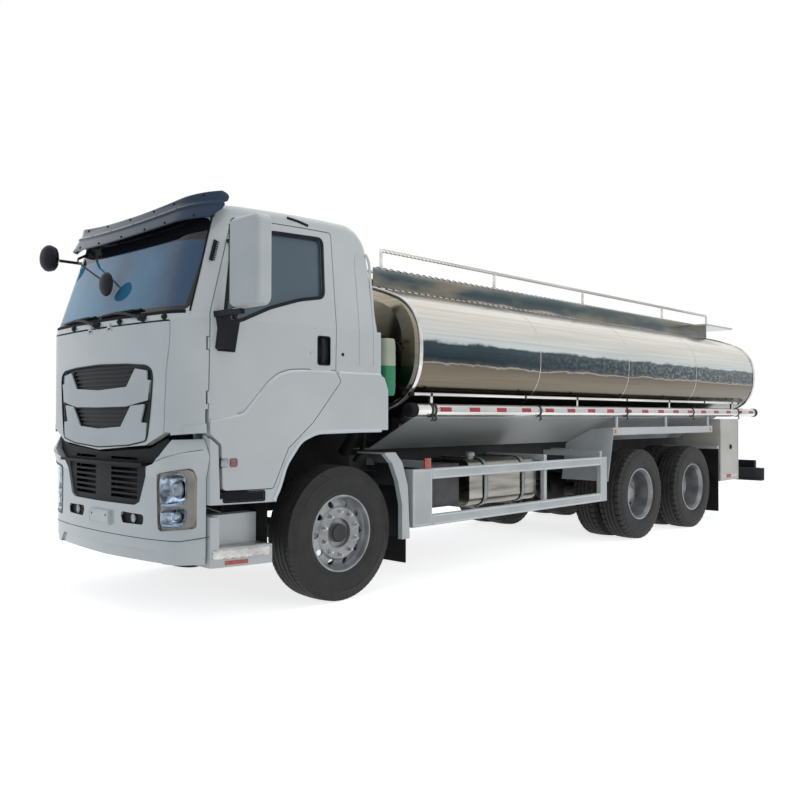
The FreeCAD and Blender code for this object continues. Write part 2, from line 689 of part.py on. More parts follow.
def flap_shape():
    """The front flap: notched for two hinge lugs, with a pin across each notch."""
    outline = grown(FLAP, -float(size.DoorGap))
    flap = slice_of(0, float(size.PanelWall), front_prism(outline, 20, 900, 2000))
    flap = flap.cut(block_shape(900, 2000, -2000, 2000, FLAP_TOP, 2300))
    flap = flap.cut(front_prism(both_halves(FLAP_SWING), 1, 900, 2000))
    for y in (HINGE_Y, -HINGE_Y):
        notch = block_shape(1200, 1500, y - NOTCH_HALF, y + NOTCH_HALF, HINGE_Z - 20, 2200)
        flap = flap.cut(notch)
        for side in (-1, 1):
            near, far = y + side * NOTCH_HALF, y + side * (NOTCH_HALF + 12)
            ear = block_shape(1370, 1397, min(near, far), max(near, far), 2050, HINGE_Z + 2)
            flap = flap.fuse(ear)
        flap = flap.fuse(hinge_rod(HINGE_PIN, NOTCH_HALF + 10, y))
    recess = slice_of(-5, 30, front_prism(GRILLE_TOP, 30, 900, 2000))
    return main_solid(flap.cut(recess))


def hinge_lugs(body):
    for y in (HINGE_Y, -HINGE_Y):
        lug = block_shape(HINGE_X - LUG_REACH, HINGE_X + LUG_REACH, y - LUG_HALF, y + LUG_HALF,
                          HINGE_Z - LUG_REACH, 2112)
        body = body.fuse(lug.cut(hinge_rod(HINGE_PIN + float(size.RunGap), LUG_HALF + 5, y)))
    return body


def slot_rows(prism, rows, x0, x1):
    """The openings between slats: rows of flat boxes kept inside a prism."""
    boxes = [block_shape(x0, x1, -1000, 1000, low, high) for low, high in rows]
    return [piece.common(prism) for piece in boxes]


def upper_grille_shape():
    """Black panel in the flap's recess, slatted in two windows, with two broad bands across it."""
    outline = grown(GRILLE_TOP, -3)
    grille = slice_of(14, 29.7, front_prism(outline, 28, 900, 2000))
    for band in (UPPER_BAND, LOWER_BAND):
        grille = grille.fuse(slice_of(-4, 29.7, front_prism(both_halves(band), 9, 900, 2000)))
    rows = [(z, z + 17) for z in range(1348, 1490, 31)] + [(z, z + 17) for z in range(1636, 1800, 31)]
    for window in (DARK_UPPER, DARK_LOWER):
        for slot in slot_rows(front_prism(both_halves(grown_half(window)), 6, 900, 2000), rows, 1000, 2000):
            grille = grille.cut(slot.cut(cab_form(25, SLICE_LOW)))
    return main_solid(grille)


def grown_half(outline):
    """A half outline drawn in by 8 mm across, so that its slots stay clear of the bands."""
    return [(max(y - 8, 0), z) for y, z in outline]


def bumper_form(extra):
    """The bumper's outer form, set in by extra: a face, a shoulder above the lamps and a sloping top."""
    nose, half, back = float(size.CabNose), float(size.CabHalf), float(size.CabBack)
    base = float(size.BumperInset) + extra
    return Part.makeLoft([cab_plan(nose, half, back, z, base + step) for z, step in BUMPER_FORM], True, True)


def bumper_shape():
    """Wrap-round bumper with its grille opening, lamp and fog recesses and mounting tabs."""
    ahead = block_shape(float(size.BumperRearX), 5000, -5000, 5000, 0, 5000)
    bumper = bumper_form(0).cut(bumper_form(float(size.BumperWall)))
    bumper = bumper.common(ahead).common(front_prism(BUMPER, 30, 900, 2000))
    bumper = bumper.cut(front_prism(NOSE_GAP, 20, 900, 2000))
    bumper = bumper.cut(front_prism(LIP_RECESS, 6, 900, 2000).cut(bumper_form(16)))
    for outline, deep in ((HEAD_LAMP, 200), (FOG_LAMP, 200)):
        hole = front_prism(outline, 25, 900, 2000)
        bumper = bumper.cut(hole).cut(mirror_shape(hole))
    half = float(size.PlateHalf)
    face = float(size.CabNose)
    plinth = block_shape(face - 50, face, -half, half, float(size.PlateLowZ), float(size.PlateHighZ))
    bumper = bumper.fuse(plinth)
    for y in (400, -400):
        tab = block_shape(BEAM_FRONT + float(size.RunGap), 1390, y - 50, y + 50, 640, 760)
        bumper = bumper.fuse(tab.common(bumper_form(float(size.BumperWall) / 2)))
    return main_solid(bumper)


BEAM_FRONT = 1270


def lower_grille_shape():
    """Black grille in the bumper's mouth: a slatted panel below and above a deep ledge."""
    base = float(size.BumperInset)
    grille = low_slice(base + 14, base + 44, front_prism(LOWER_GRILLE, 20, 900, 2000))
    reach = float(size.CabNose) - float(size.FrontReach)
    low = float(size.LedgeZ) + 4
    ledge = low_slice(reach, base + 40, block_shape(900, 2000, -640, 640, low, low + 20), 1200)
    for y in (300, -300):
        for slot in slot_rows(block_shape(900, 2000, y - 180, y + 180, 0, 3000), GRILLE_SLOTS, 900, 2000):
            grille = grille.cut(slot)
    return main_solid(grille.fuse(ledge))


def head_lamp_shape():
    outline = grown(HEAD_LAMP, -float(size.RunGap))
    lamp = bumper_form(4).cut(bumper_form(90)).common(front_prism(outline, 25.5, 900, 2000))
    return main_solid(lamp.common(block_shape(1165, 2000, -2000, 2000, 0, 2000)))


def screen_shape():
    pane = slice_of(4, 4 + float(size.GlassWall), front_prism(SCREEN, 60, 800, 2000))
    return max(pane.Solids, key=lambda solid: solid.CenterOfMass.x)


VISOR_SHIFT = 48
VISOR_LOW = 2832
VISOR_TOP = 3030


def visor_shape():
    """Curved sun visor ahead of the screen's top, on four stays."""
    def plan(z, inset):
        lean = (z - float(size.BeltZ)) / (float(size.RoofZ) - float(size.BeltZ))
        nose = float(size.CabNose) + (float(size.RoofNose) - float(size.CabNose)) * lean + VISOR_SHIFT
        return cab_plan(nose, float(size.RoofHalf) + 20, float(size.RoofBack), z, inset)

    def solid(inset):
        return Part.makeLoft([plan(VISOR_LOW, inset), plan(VISOR_TOP, inset)], True, True)

    visor = solid(0).cut(solid(7)).common(block_shape(905, 3000, -3000, 3000, 0, 4000))
    for y in (-800, -280, 280, 800):
        stay = block_shape(950, 1300, y - 20, y + 20, 2880, 2910).common(solid(3))
        visor = visor.fuse(stay.cut(cab_form(0)))
    return main_solid(visor)


def wipers_shape():
    """Two arms and blades that follow the screen."""
    pieces = []
    for y in (120, -520):
        blade = [(y, 2192), (y + 640, 2150), (y + 640, 2166), (y, 2208)]
        arm = [(y - 40, 2128), (y + 300, 2168), (y + 300, 2182), (y - 40, 2142)]
        band = front_prism(blade, 4, 900, 2000).fuse(front_prism(arm, 4, 900, 2000))
        pieces.append(main_solid(slice_of(-24, -float(size.RunGap), band)))
    return Part.makeCompound(pieces)


shell_with_lugs = main_solid(hinge_lugs(cab_shell()))
shaped(shell_with_lugs, "cab_shell")
left_door = door_shape()
shaped(left_door, "door_left")
shaped(mirror_shape(left_door), "door_right")
left_glass = door_glass_shape()
shaped(left_glass, "door_glass_left")
shaped(mirror_shape(left_glass), "door_glass_right")
shaped(flap_shape(), "front_flap")
shaped(upper_grille_shape(), "upper_grille")
shaped(bumper_shape(), "front_bumper")
shaped(lower_grille_shape(), "lower_grille")
left_lamp = head_lamp_shape()
shaped(Part.makeCompound([left_lamp, mirror_shape(left_lamp)]), "head_lamps")
shaped(screen_shape(), "windscreen")
shaped(visor_shape(), "sun_visor")
shaped(wipers_shape(), "wipers")


# Cab interior

SEAT_SIDE = [(-20, 1480), (420, 1500), (420, 1620), (100, 1600), (60, 1700), (-60, 2200), (-150, 2180), (-90, 1560)]


def seat(y):
    cushion = pad("xz", SEAT_SIDE, y - 250, y + 250)
    base = box(40, 340, y - 150, y + 150, size.CabFloorZ + size.CabFloorThick, 1495)
    return fuse(cushion, base)


node(group(seat(560), seat(-560)), "seats")
DASH_SIDE = [(900, 1500), (860, 1900), (960, 2030), (1149.7, 2060), (1149.7, 1381), (1080, 1381), (1080, 1480)]
dash = pad("xz", DASH_SIDE, -900, 900)
column = rod("x", 640, 300, 28, y=560, z=1960)
rim = doc.addObject("Part::Torus", "SteeringRim")
rim.Radius1 = 215
rim.Radius2 = 15
rim.Placement = FreeCAD.Placement(Vector(640, 560, 1960), FreeCAD.Rotation(Vector(0, 1, 0), 90))
spoke = box(628, 652, 560 - 215, 560 + 215, 1940, 1980)
node(fuse(dash, column, rim, spoke), "dashboard")


# Mirrors, carried by the doors. The left housing stands by the front pillar on a foot and an upper arm.
# The right one stands further back, under a bracket from the window frame, with a round mirror ahead.

def mirror_housing(x):
    housing = Part.Face(round_loop([Vector(x, 1330, 2150), Vector(x, 1670, 2150), Vector(x, 1670, 2740),
                                    Vector(x, 1330, 2740)], 60)).extrude(Vector(110, 0, 0))
    housing = housing.makeFillet(30, [e for e in housing.Edges if e.CenterOfMass.x > x + 105])
    return housing.makeFillet(10, [e for e in housing.Edges if e.CenterOfMass.x < x + 5])


def left_mirror_shape():
    low_arm = block_shape(1085, 1125, 1060, 1400, 2110, 2150)
    low_up = block_shape(1085, 1125, 1370, 1410, 2110, 2200)
    high_arm = block_shape(958, 982, 980, 1350, 2650, 2674)
    high_reach = block_shape(958, 1085, 1326, 1350, 2650, 2674)
    foot = side_prism([(1105, 2030), (1120, 1890), (1000, 1890), (990, 2030), (1060, 2150), (1120, 2150)], 12,
                      1060, 1175)
    arms = low_arm.fuse([high_arm, foot]).cut(cab_form(0))
    return main_solid(arms.fuse([mirror_housing(1060), low_up, high_reach]))


def right_mirror_shape():
    low_arm = block_shape(685, 725, 1060, 1400, 2110, 2150).cut(cab_form(0))
    low_up = block_shape(685, 725, 1370, 1410, 2110, 2200)
    high_arm = block_shape(690, 714, 980, 1500, 2815, 2839).cut(cab_form(0))
    high_drop = block_shape(690, 714, 1476, 1500, 2700, 2839)
    main = main_solid(low_arm.fuse([mirror_housing(660), low_up, high_arm, high_drop]))
    far_arm = block_shape(896, 920, 1000, 1360, 2790, 2812).cut(cab_form(0))
    far_reach = block_shape(896, 1192, 1336, 1360, 2790, 2812)
    round_mirror = Part.makeCylinder(112, 40, Vector(1190, 1330, 2806), Vector(1, 0, 0))
    return mirror_shape(Part.makeCompound([main, main_solid(far_arm.fuse([far_reach, round_mirror]))]))


shaped(left_mirror_shape(), "mirror_left")
shaped(right_mirror_shape(), "mirror_right")


# Chassis

rail_low = size.RailTopZ - size.RailHeight
rail_inner = size.RailOuterY - size.RailFlange


def rail():
    web, y0, y1, z0, z1 = size.RailWeb, rail_inner, size.RailOuterY, rail_low, size.RailTopZ
    channel = [(y0, z0), (y1, z0), (y1, z1), (y0, z1), (y0, z1 - web), (y1 - web, z1 - web), (y1 - web, z0 + web),
               (y0, z0 + web)]
    return pad("yz", channel, -size.RailRearX, size.RailFrontX)


CROSS_MEMBERS = (1080, -1950, -3300, -4100, -6450, -7250, -7850)
CAB_MOUNTS = (560, -270)
OUTRIGGERS = ((890, 585), (-672, 900))


def half_frame():
    """One rail with its cab mounts and the outriggers that carry the steps and wings."""
    pieces = [rail()]
    for x in CAB_MOUNTS:
        pieces.append(box(x - 40, x + 40, rail_inner, size.RailOuterY, size.RailTopZ, size.CabFloorZ - size.RunGap))
    for x, z in OUTRIGGERS:
        pieces.append(box(x - 25, x + 25, rail_inner, size.RailOuterY, min_dim(z, rail_low), size.RailTopZ - 20))
        pieces.append(box(x - 25, x + 25, size.RailOuterY, 895 - size.RunGap, z, z + 60))
    return pieces


def min_dim(a, b):
    return a if float(a) < float(b) else b


web_inner = size.RailOuterY - size.RailWeb
left_frame = fuse(*half_frame())
cross = [box(x - 30, x + 30, -web_inner, web_inner, size.RailTopZ - 220, size.RailTopZ - 60) for x in CROSS_MEMBERS]
beam = box(size.RailFrontX, BEAM_FRONT, -700, 700, 640, 1000)
beam_hanger = box(size.RailFrontX - 100, size.RailFrontX, -size.RailOuterY, size.RailOuterY, 800, 1000)
coupling_holes = [rod("x", -size.RailRearX - 1, 20, size.CouplingHole, y=y, z=z)
                  for y in (-size.CouplingSpanY / 2, size.CouplingSpanY / 2)
                  for z in (size.CouplingZ - size.CouplingSpanZ / 2, size.CouplingZ + size.CouplingSpanZ / 2)]
end_plate = cut(box(-size.RailRearX, -size.RailRearX + 12, -web_inner, web_inner, size.CouplingZ - 100,
                    size.CouplingZ + 100), *coupling_holes)
node(fuse(left_frame, mirrored(left_frame), beam, beam_hanger, end_plate, *cross), "frame_rails")

FRONT_BEAM = 100
eye_outer, eye_low, eye_high = 42, 445, 605
front_beam = box(-45, 45, -760, 760, 410, 410 + FRONT_BEAM)
eye = cut(fuse(box(-40, 40, 735, size.KingpinY, eye_low, eye_high),
               rod("z", eye_low, eye_high - eye_low, eye_outer, y=size.KingpinY)),
          rod("z", eye_low - 1, eye_high - eye_low + 2, size.KingpinRadius + size.RunGap, y=size.KingpinY))
front = fuse(front_beam, eye, mirrored(eye))


def drive_axle(x):
    """Housing, differential and the stub axles that the hubs turn on."""
    tube_end = 600
    tube = rod("y", -tube_end, 2 * tube_end, size.AxleTube, x=x, z=axle_z)
    stub = rod("y", -1080, 2160, size.RearSpindleRadius, x=x, z=axle_z)
    bowl = ball(200, x=x, z=axle_z)
    nose = rod("x", x + 100, 260, 90, z=axle_z)
    return fuse(tube, stub, bowl, nose)


first_rear = -size.WheelBase
second_rear = -(size.WheelBase + size.BogieSpread)
node(group(front, drive_axle(first_rear), drive_axle(second_rear)), "axles")

spring_in = size.SpringY - size.SpringWidth / 2
spring_out = size.SpringY + size.SpringWidth / 2


def front_spring():
    def leaf(mid, end):
        return [(-780, end), (-400, (mid + end) / 2 - 25), (0, mid), (400, (mid + end) / 2 - 25), (780, end)]
    low, high = leaf(510, 740), leaf(575, 775)
    pack = pad("xz", low + high[::-1], spring_in, spring_out)
    hangers = [box(x - 35, x + 35, spring_in, spring_out, 745, rail_low) for x in (-740, 740)]
    return fuse(pack, *hangers)


def rear_spring():
    mid_x = first_rear - size.BogieSpread / 2
    half = size.BogieSpread / 2
    seat_z = axle_z + size.AxleTube + size.RunGap
    end, foot = half + 70, half - 70
    outline = [(mid_x - end, seat_z), (mid_x - foot, seat_z), (mid_x - half / 2, seat_z + 60), (mid_x, seat_z + 95),
               (mid_x + half / 2, seat_z + 60), (mid_x + foot, seat_z), (mid_x + end, seat_z),
               (mid_x + end, seat_z + 60), (mid_x + half / 2, seat_z + 150), (mid_x, rail_low),
               (mid_x - half / 2, seat_z + 150), (mid_x - end, seat_z + 60)]
    pack = pad("xz", outline, spring_in, spring_out)
    trunnion = pad("xz", [(mid_x - 190, rail_low), (mid_x - 60, 520), (mid_x + 60, 520), (mid_x + 190, rail_low)],
                   spring_in - 30, spring_out + 20)
    return fuse(pack, trunnion)


node(group(pair(front_spring()), pair(rear_spring())), "leaf_springs")
engine_mounts = [box(x - 50, x + 50, -rail_inner + size.RunGap, rail_inner - size.RunGap, 830, 900)
                 for x in (-380, 620)]
node(fuse(box(-520, 760, -330, 330, 640, 1270), *engine_mounts), "engine_block")
gear_case = pad("xy", [(-520, -230), (-520, 230), (-900, 170), (-1350, 150), (-1350, -150), (-900, -170)], 660, 1060)
mid_shaft = rod("x", first_rear + 360, size.WheelBase - 360 - 1350, 55, z=axle_z)
gear_drop = box(-1420, -1350, -110, 110, 460, 900)
short_shaft = rod("x", second_rear + 360, size.BogieSpread - 360 - 206, 45, z=axle_z)
node(group(fuse(gear_case, gear_drop), cut(mid_shaft, box(-1420, 0, -500, 500, 0, 2000)), short_shaft), "driveline")


# Knuckles, steering and wheels

def knuckle():
    """Fork, kingpin, stub axle and steering arm in one forging."""
    y = size.KingpinY
    fork_low = box(-50, 50, y - 45, y + 50, eye_low - 35, eye_low - 5)
    fork_high = box(-50, 50, y - 45, y + 50, eye_high + 5, eye_high + 35)
    back = box(-60, 60, y + 48, y + 70, eye_low - 35, eye_high + 35)
    pin = rod("z", eye_low - 35, eye_high - eye_low + 70, size.KingpinRadius, y=y)
    stub = rod("y", y + 50, 1112 - y - 50, size.SpindleRadius, z=axle_z)
    arm = box(-size.SteerArm, 0, y - 22, y + 22, eye_low - 35, eye_low - 8)
    boss = rod("z", eye_low - 35, 27, 30, x=-size.SteerArm, y=y)
    ball_pin = rod("z", size.TieRodZ - 20, eye_low - 35 - size.TieRodZ + 20, size.BallPinRadius,
                   x=-size.SteerArm, y=y)
    return fuse(fork_low, fork_high, back, pin, stub, arm, boss, ball_pin)


left_knuckle = knuckle()
node(left_knuckle, "knuckle_left")
node(mirrored(knuckle()), "knuckle_right")
rod_eyes = []
for side, clearance in ((1, size.RunGap), (-1, 3)):
    y = size.KingpinY * side
    rod_eyes.append(cut(rod("z", size.TieRodZ - 15, 30, 28, x=-size.SteerArm, y=y),
                        rod("z", size.TieRodZ - 16, 32, size.BallPinRadius + clearance, x=-size.SteerArm, y=y)))
tie_tube = rod("y", -(size.KingpinY - 24), 2 * (size.KingpinY - 24), 16, x=-size.SteerArm, z=size.TieRodZ)
node(fuse(tie_tube, *rod_eyes), "tie_rod")


def tyre_profile(middle):
    half, bead, tread = size.TyreWidth / 2, size.SeatWidth / 2, size.TreadWidth / 2
    seat, outer = size.SeatRadius, size.TyreRadius
    lip = seat + size.FlangeHeight + 0.5
    side = [(seat, bead - size.RunGap), (lip, bead - size.RunGap), (lip + 14, bead + 14), (seat + 110, half), (outer - 60, half - 4),
            (outer - 14, tread + 14), (outer, tread - 10)]
    return [(r, middle + w) for r, w in side] + [(r, middle - w) for r, w in side[::-1]]


def front_rim_profile(side):
    """Rim, disc bowed outwards, and hub, as (radius, distance out from the tyre's middle)."""
    seat, bead = size.SeatRadius, size.SeatWidth / 2
    lip, edge = size.SeatRadius + size.FlangeHeight, bead + size.FlangeThick
    thick = size.DiscThick
    profile = [(0, 96), (40, 96), (70, 92), (74, 60), (108, 62), (112, 94), (126, 103), (198, 99), (212, 84),
               (258, 66), (seat - 14, 88), (seat - 2, edge), (lip, edge), (lip, bead), (seat, bead),
               (seat, -bead), (lip, -bead), (lip, -edge), (seat - 2, -edge), (seat - 18, -bead + 10),
               (seat - 18, 40), (250, 66 - thick), (205, 84 - thick), (190, 99 - 2 * thick), (112, 60),
               (104, -60), (95, -128), (size.SpindleRadius + size.RunGap, -128),
               (size.SpindleRadius + size.RunGap, 80), (0, 80)]
    return [(r, (size.FrontTyreY + w) * side) for r, w in profile]


def rear_rim_profile(side):
    """Twin rims bolted disc to disc, with the hub that carries them."""
    seat, bead = size.SeatRadius, size.SeatWidth / 2
    lip, edge = seat + size.FlangeHeight, bead + size.FlangeThick
    outer, inner = size.TwinOuterY, size.TwinOuterY - size.TwinPitch
    middle = outer - size.TwinPitch / 2
    bore = size.RearSpindleRadius + size.RunGap
    thick = size.DiscThick
    profile = [(0, outer + 10), (60, outer + 8), (108, outer - 12), (116, middle + thick + 12),
               (150, middle + thick), (200, middle + thick + 4), (240, middle + thick + 18),
               (seat - 22, outer - bead + 20), (seat - 18, outer + bead - 30), (seat - 2, outer + edge),
               (lip, outer + edge), (lip, outer + bead), (seat, outer + bead), (seat, outer - bead),
               (lip, outer - bead), (lip, outer - edge), (seat - 6, outer - edge), (250, middle + 10),
               (250, middle - 10), (seat - 6, inner + edge), (lip, inner + edge), (lip, inner + bead),
               (seat, inner + bead), (seat, inner - bead), (lip, inner - bead), (lip, inner - edge),
               (seat - 2, inner - edge), (seat - 18, inner - bead + 30), (seat - 22, inner + bead - 20),
               (240, middle - thick - 18), (150, middle - thick), (112, middle - thick),
               (106, inner - 140), (bore, inner - 140), (bore, outer - 8), (0, outer - 8)]
    return [(r, y * side) for r, y in profile]


def with_hand_holes(rim, start, length):
    """Round holes through the disc, in a ring."""
    holes = []
    for i in range(10):
        angle = 2 * math.pi * i / 10
        reach = size.HandHoleCircle
        holes.append(rod("y", start, length, size.HandHole, x=reach * math.cos(angle), z=reach * math.sin(angle)))
    return cut(rim, *holes)


for side, name in ((1, "left"), (-1, "right")):
    node(spun(tyre_profile(size.FrontTyreY * side)), f"tyre_front_{name}", z=axle_z)
    front_start = size.FrontTyreY + 20 if side == 1 else -(size.FrontTyreY + 120)
    node(with_hand_holes(spun(front_rim_profile(side)), front_start, 100), f"rim_front_{name}", z=axle_z)
    for axle, word in ((first_rear, "middle"), (second_rear, "rear")):
        outer = size.TwinOuterY * side
        inner = (size.TwinOuterY - size.TwinPitch) * side
        node(group(spun(tyre_profile(outer)), spun(tyre_profile(inner))), f"tyres_{word}_{name}", x=axle, z=axle_z)
        middle = size.TwinOuterY - size.TwinPitch / 2
        rear_start = middle - 60 if side == 1 else -(middle + 60)
        node(with_hand_holes(spun(rear_rim_profile(side)), rear_start, 120), f"rims_{word}_{name}", x=axle,
             z=axle_z)


# Tank

def tank_section(x, share=1.0):
    """Eight tangent arcs: crown, shoulders and sides."""
    half, high = float(size.TankHalfWidth) * share, float(size.TankHalfHeight) * share
    crown, corner, side = (float(size.TankCrown) * share, float(size.TankCorner) * share,
                           float(size.TankSide) * share)
    mid = float(size.TankMidZ)
    crown_z = high - crown
    side_y = half - side
    reach_crown, reach_side = crown - corner, side - corner
    gap = math.hypot(side_y, crown_z)
    along = (reach_crown ** 2 - reach_side ** 2 + gap ** 2) / (2 * gap)
    across = math.sqrt(reach_crown ** 2 - along ** 2)
    toward = Vector(side_y, -crown_z, 0) / gap
    centre = Vector(0, crown_z, 0) + toward * along + Vector(-toward.y, toward.x, 0) * across * -1
    if centre.x < 0 or centre.y < 0:
        centre = Vector(0, crown_z, 0) + toward * along + Vector(-toward.y, toward.x, 0) * across
    crown_end = Vector(0, crown_z, 0) + (centre - Vector(0, crown_z, 0)).normalize() * crown
    side_end = Vector(side_y, 0, 0) + (centre - Vector(side_y, 0, 0)).normalize() * side
    corner_mid = centre + ((crown_end + side_end) / 2 - centre).normalize() * corner

    def at(point, turn_y, turn_z):
        return Vector(x, point.x * turn_y, mid + point.y * turn_z)

    def arc(a, b, c):
        return Part.Arc(a, b, c).toShape()

    quarters = [(1, 1), (1, -1), (-1, -1), (-1, 1)]
    edges = [arc(at(crown_end, -1, 1), at(Vector(0, high, 0), 1, 1), at(crown_end, 1, 1)),
             arc(at(crown_end, 1, 1), at(corner_mid, 1, 1), at(side_end, 1, 1)),
             arc(at(side_end, 1, 1), at(Vector(half, 0, 0), 1, 1), at(side_end, 1, -1)),
             arc(at(side_end, 1, -1), at(corner_mid, 1, -1), at(crown_end, 1, -1)),
             arc(at(crown_end, 1, -1), at(Vector(0, high, 0), 1, -1), at(crown_end, -1, -1)),
             arc(at(crown_end, -1, -1), at(corner_mid, -1, -1), at(side_end, -1, -1)),
             arc(at(side_end, -1, -1), at(Vector(half, 0, 0), -1, 1), at(side_end, -1, 1)),
             arc(at(side_end, -1, 1), at(corner_mid, -1, 1), at(crown_end, -1, 1))]
    return Part.Wire(edges)


def tank_form(grow=0):
    """Barrel between two dished ends."""
    front, rear = -float(size.TankFrontX) + grow, -float(size.TankRearX) - grow
    dish = float(size.TankDish)
    full = 1 + grow / float(size.TankHalfHeight)
    barrel = Part.Face(tank_section(rear, full)).extrude(Vector(front - rear, 0, 0))
    shares = [1.0, 0.97, 0.88, 0.7, 0.4, 0.1]
    ends = []
    for ring, way in ((front, 1), (rear, -1)):
        wires = [tank_section(ring + way * dish * math.sqrt(1 - share ** 2), full * share) for share in shares]
        ends.append(Part.makeLoft(wires, True, True))
    return barrel.fuse(ends).removeSplitter()


def manholes():
    return [(-float(size.ManholeOneX)), (-float(size.ManholeTwoX))]


NECK_WALL = 22
LID_HINGE = 300


def tank_shape():
    tank = tank_form()
    top = float(size.ManholeTopZ)
    bore = float(size.ManholeRadius)
    for x in manholes():
        neck = Part.makeCylinder(bore + NECK_WALL, 200, Vector(x, 0, top - 200))
        foot = block_shape(x + bore, x + LID_HINGE + 14, -60, -30, top - 60, top - 1)
        lug = foot.fuse(block_shape(x + LID_HINGE - 14, x + LID_HINGE + 14, -60, -30, top - 10, top + 18))
        lugs = [lug, mirror_shape(lug)]
        tank = tank.fuse([neck] + lugs)
        pin = Part.makeCylinder(8 + float(size.RunGap), 200, Vector(x + LID_HINGE, -100, top + 4), Vector(0, 1, 0))
        well = Part.makeCylinder(bore, 600, Vector(x, 0, top - float(size.ManholeDepth)))
        tank = tank.cut([well, pin])
    return main_solid(tank)


def lid_shape(x):
    top = float(size.ManholeTopZ) + float(size.RunGap)
    outer = float(size.ManholeRadius) + NECK_WALL + 12
    lid = Part.makeCylinder(outer, float(size.LidThick), Vector(x, 0, top))
    tongue = block_shape(x + outer - 40, x + LID_HINGE + 4, -25, 25, top, top + 18)
    pin = Part.makeCylinder(8, 116, Vector(x + LID_HINGE, -58, top + 4 - float(size.RunGap)), Vector(0, 1, 0))
    room = block_shape(x + float(size.ManholeRadius) + 15, x + 400, -66, -24, top - 1, top + 40)
    lid = lid.cut([room, mirror_shape(room)])
    return main_solid(lid.fuse([tongue, pin]))


shaped(tank_shape(), "tank_shell")
lid_one, lid_two = [lid_shape(x) for x in manholes()]
shaped(lid_one, "manhole_lid_front")
shaped(lid_two, "manhole_lid_rear")

seat_gap = float(size.RunGap)
tank_room = tank_form(seat_gap)


def saddles_shape():
    """Two long bearers on the rails and cross saddles shaped to the tank's belly."""
    y0, y1 = float(rail_inner), float(size.RailOuterY)
    top = float(size.RailTopZ)
    pieces = []
    for side in (1, -1):
        low, high = (y0, y1) if side == 1 else (-y1, -y0)
        pieces.append(block_shape(-7950, -900, low, high, top + seat_gap, top + 120))
    for x in (-1150, -2500, -3850, -5285, -6500, -7700):
        pieces.append(block_shape(x - 40, x + 40, -600, 600, top + 100, 1500))
    return main_solid(pieces[0].fuse(pieces[1:]).cut(tank_room))


shaped(saddles_shape(), "tank_saddles")

# Skirts under the hose tubes
thick = size.SheetThick
skirt_top_z = size.HoseTubeZ - size.HoseTubeRadius - size.RunGap
skirt_profile = [(size.RailOuterY + size.RunGap, size.SkirtLowZ), (size.SkirtInnerY, size.SkirtLowZ),
                 (size.HoseTubeY, skirt_top_z - thick), (size.HoseTubeY, skirt_top_z),
                 (size.SkirtInnerY - 4, size.SkirtLowZ + thick),
                 (size.RailOuterY + size.RunGap, size.SkirtLowZ + thick)]
node(pair(pad("yz", skirt_profile, -size.SkirtRearX, -(size.TankFrontX - 30))), "tank_skirts")


def side_tubes():
    """The long hose tube and the thin grab rail above it, on brackets."""
    tube = rod("x", -size.HoseRearX, size.HoseRearX - size.HoseFrontX, size.HoseTubeRadius,
               y=size.HoseTubeY, z=size.HoseTubeZ)
    grab = rod("x", -size.GrabRearX, size.GrabRearX - size.GrabFrontX, size.GrabRadius, y=size.GrabY, z=size.GrabZ)
    posts = []
    for x in (-1000, -3300, -5400, -7300):
        posts.append(box(x - 15, x + 15, size.GrabY - 12, size.GrabY + 12, size.HoseTubeZ, size.GrabZ))
    return fuse(tube, grab, *posts)


node(pair(side_tubes()), "side_tubes")


# Walkway, splash guards, rear landing and hand rails

def catwalk_shape():
    thick = float(size.SheetThick)
    front, rear = -float(size.GuardFrontX), -float(size.GuardRearX)
    y, walk, top = float(size.GuardY), float(size.WalkwayZ), float(size.GuardTopZ)
    plate = block_shape(rear, front, -y, y, walk - thick, walk)
    guards = [block_shape(rear, front, side - thick / 2, side + thick / 2, 2500, top) for side in (y, -y)]
    landing = block_shape(-float(size.PlatformRearX), -float(size.PlatformFrontX), -float(size.PlatformHalf),
                          float(size.PlatformHalf), 2762, 2785)
    landing = landing.cut(block_shape(rear, 0, -y, y, 2700, 2900))
    walkway = plate.fuse(guards + [landing])
    for x in manholes():
        walkway = walkway.cut(Part.makeCylinder(340, 400, Vector(x, 0, 2500)))
    return main_solid(walkway.cut(tank_room))


shaped(catwalk_shape(), "catwalk")
POST_GAPS = (0, 1706, 3469, 5547, 6990)


def hand_rail():
    front = -size.HandRailFrontX
    last = POST_GAPS[-1]
    top = rod("x", front - last, last, size.HandRailTube, y=size.GuardY, z=size.HandRailZ)
    posts = [rod("z", size.GuardTopZ + size.RunGap, size.HandRailZ - size.GuardTopZ - size.RunGap,
                 size.HandRailTube, x=front - gap, y=size.GuardY) for gap in POST_GAPS]
    ends = [ball(size.HandRailTube, x=front, y=size.GuardY, z=size.HandRailZ),
            ball(size.HandRailTube, x=front - last, y=size.GuardY, z=size.HandRailZ)]
    return fuse(top, *posts, *ends)


node(pair(hand_rail()), "hand_rails")


# Side equipment

def side_guard():
    front, rear, out = -size.SideGuardFrontX, -size.SideGuardRearX, size.SideGuardY
    inner = out - size.SideGuardDepth
    low, high, deep = size.SideGuardLowZ, size.SideGuardTopZ, size.SideGuardRail
    pieces = [box(rear, front, inner, out, low, low + deep), box(rear, front, inner, out, high - deep, high),
              box(front - 240, front, inner, out, low, high), box(rear, rear + 130, inner, out, low, high),
              box(front - 8, front, out - 330, out, low, high)]
    for x in (-970, -2720, -3790):
        pieces.append(box(x - 25, x + 25, inner - 40, inner, low, high + 60))
        pieces.append(box(x - 25, x + 25, size.RailOuterY + size.RunGap, inner, high, high + 60))
    return fuse(*pieces)


node(pair(side_guard()), "side_guards")


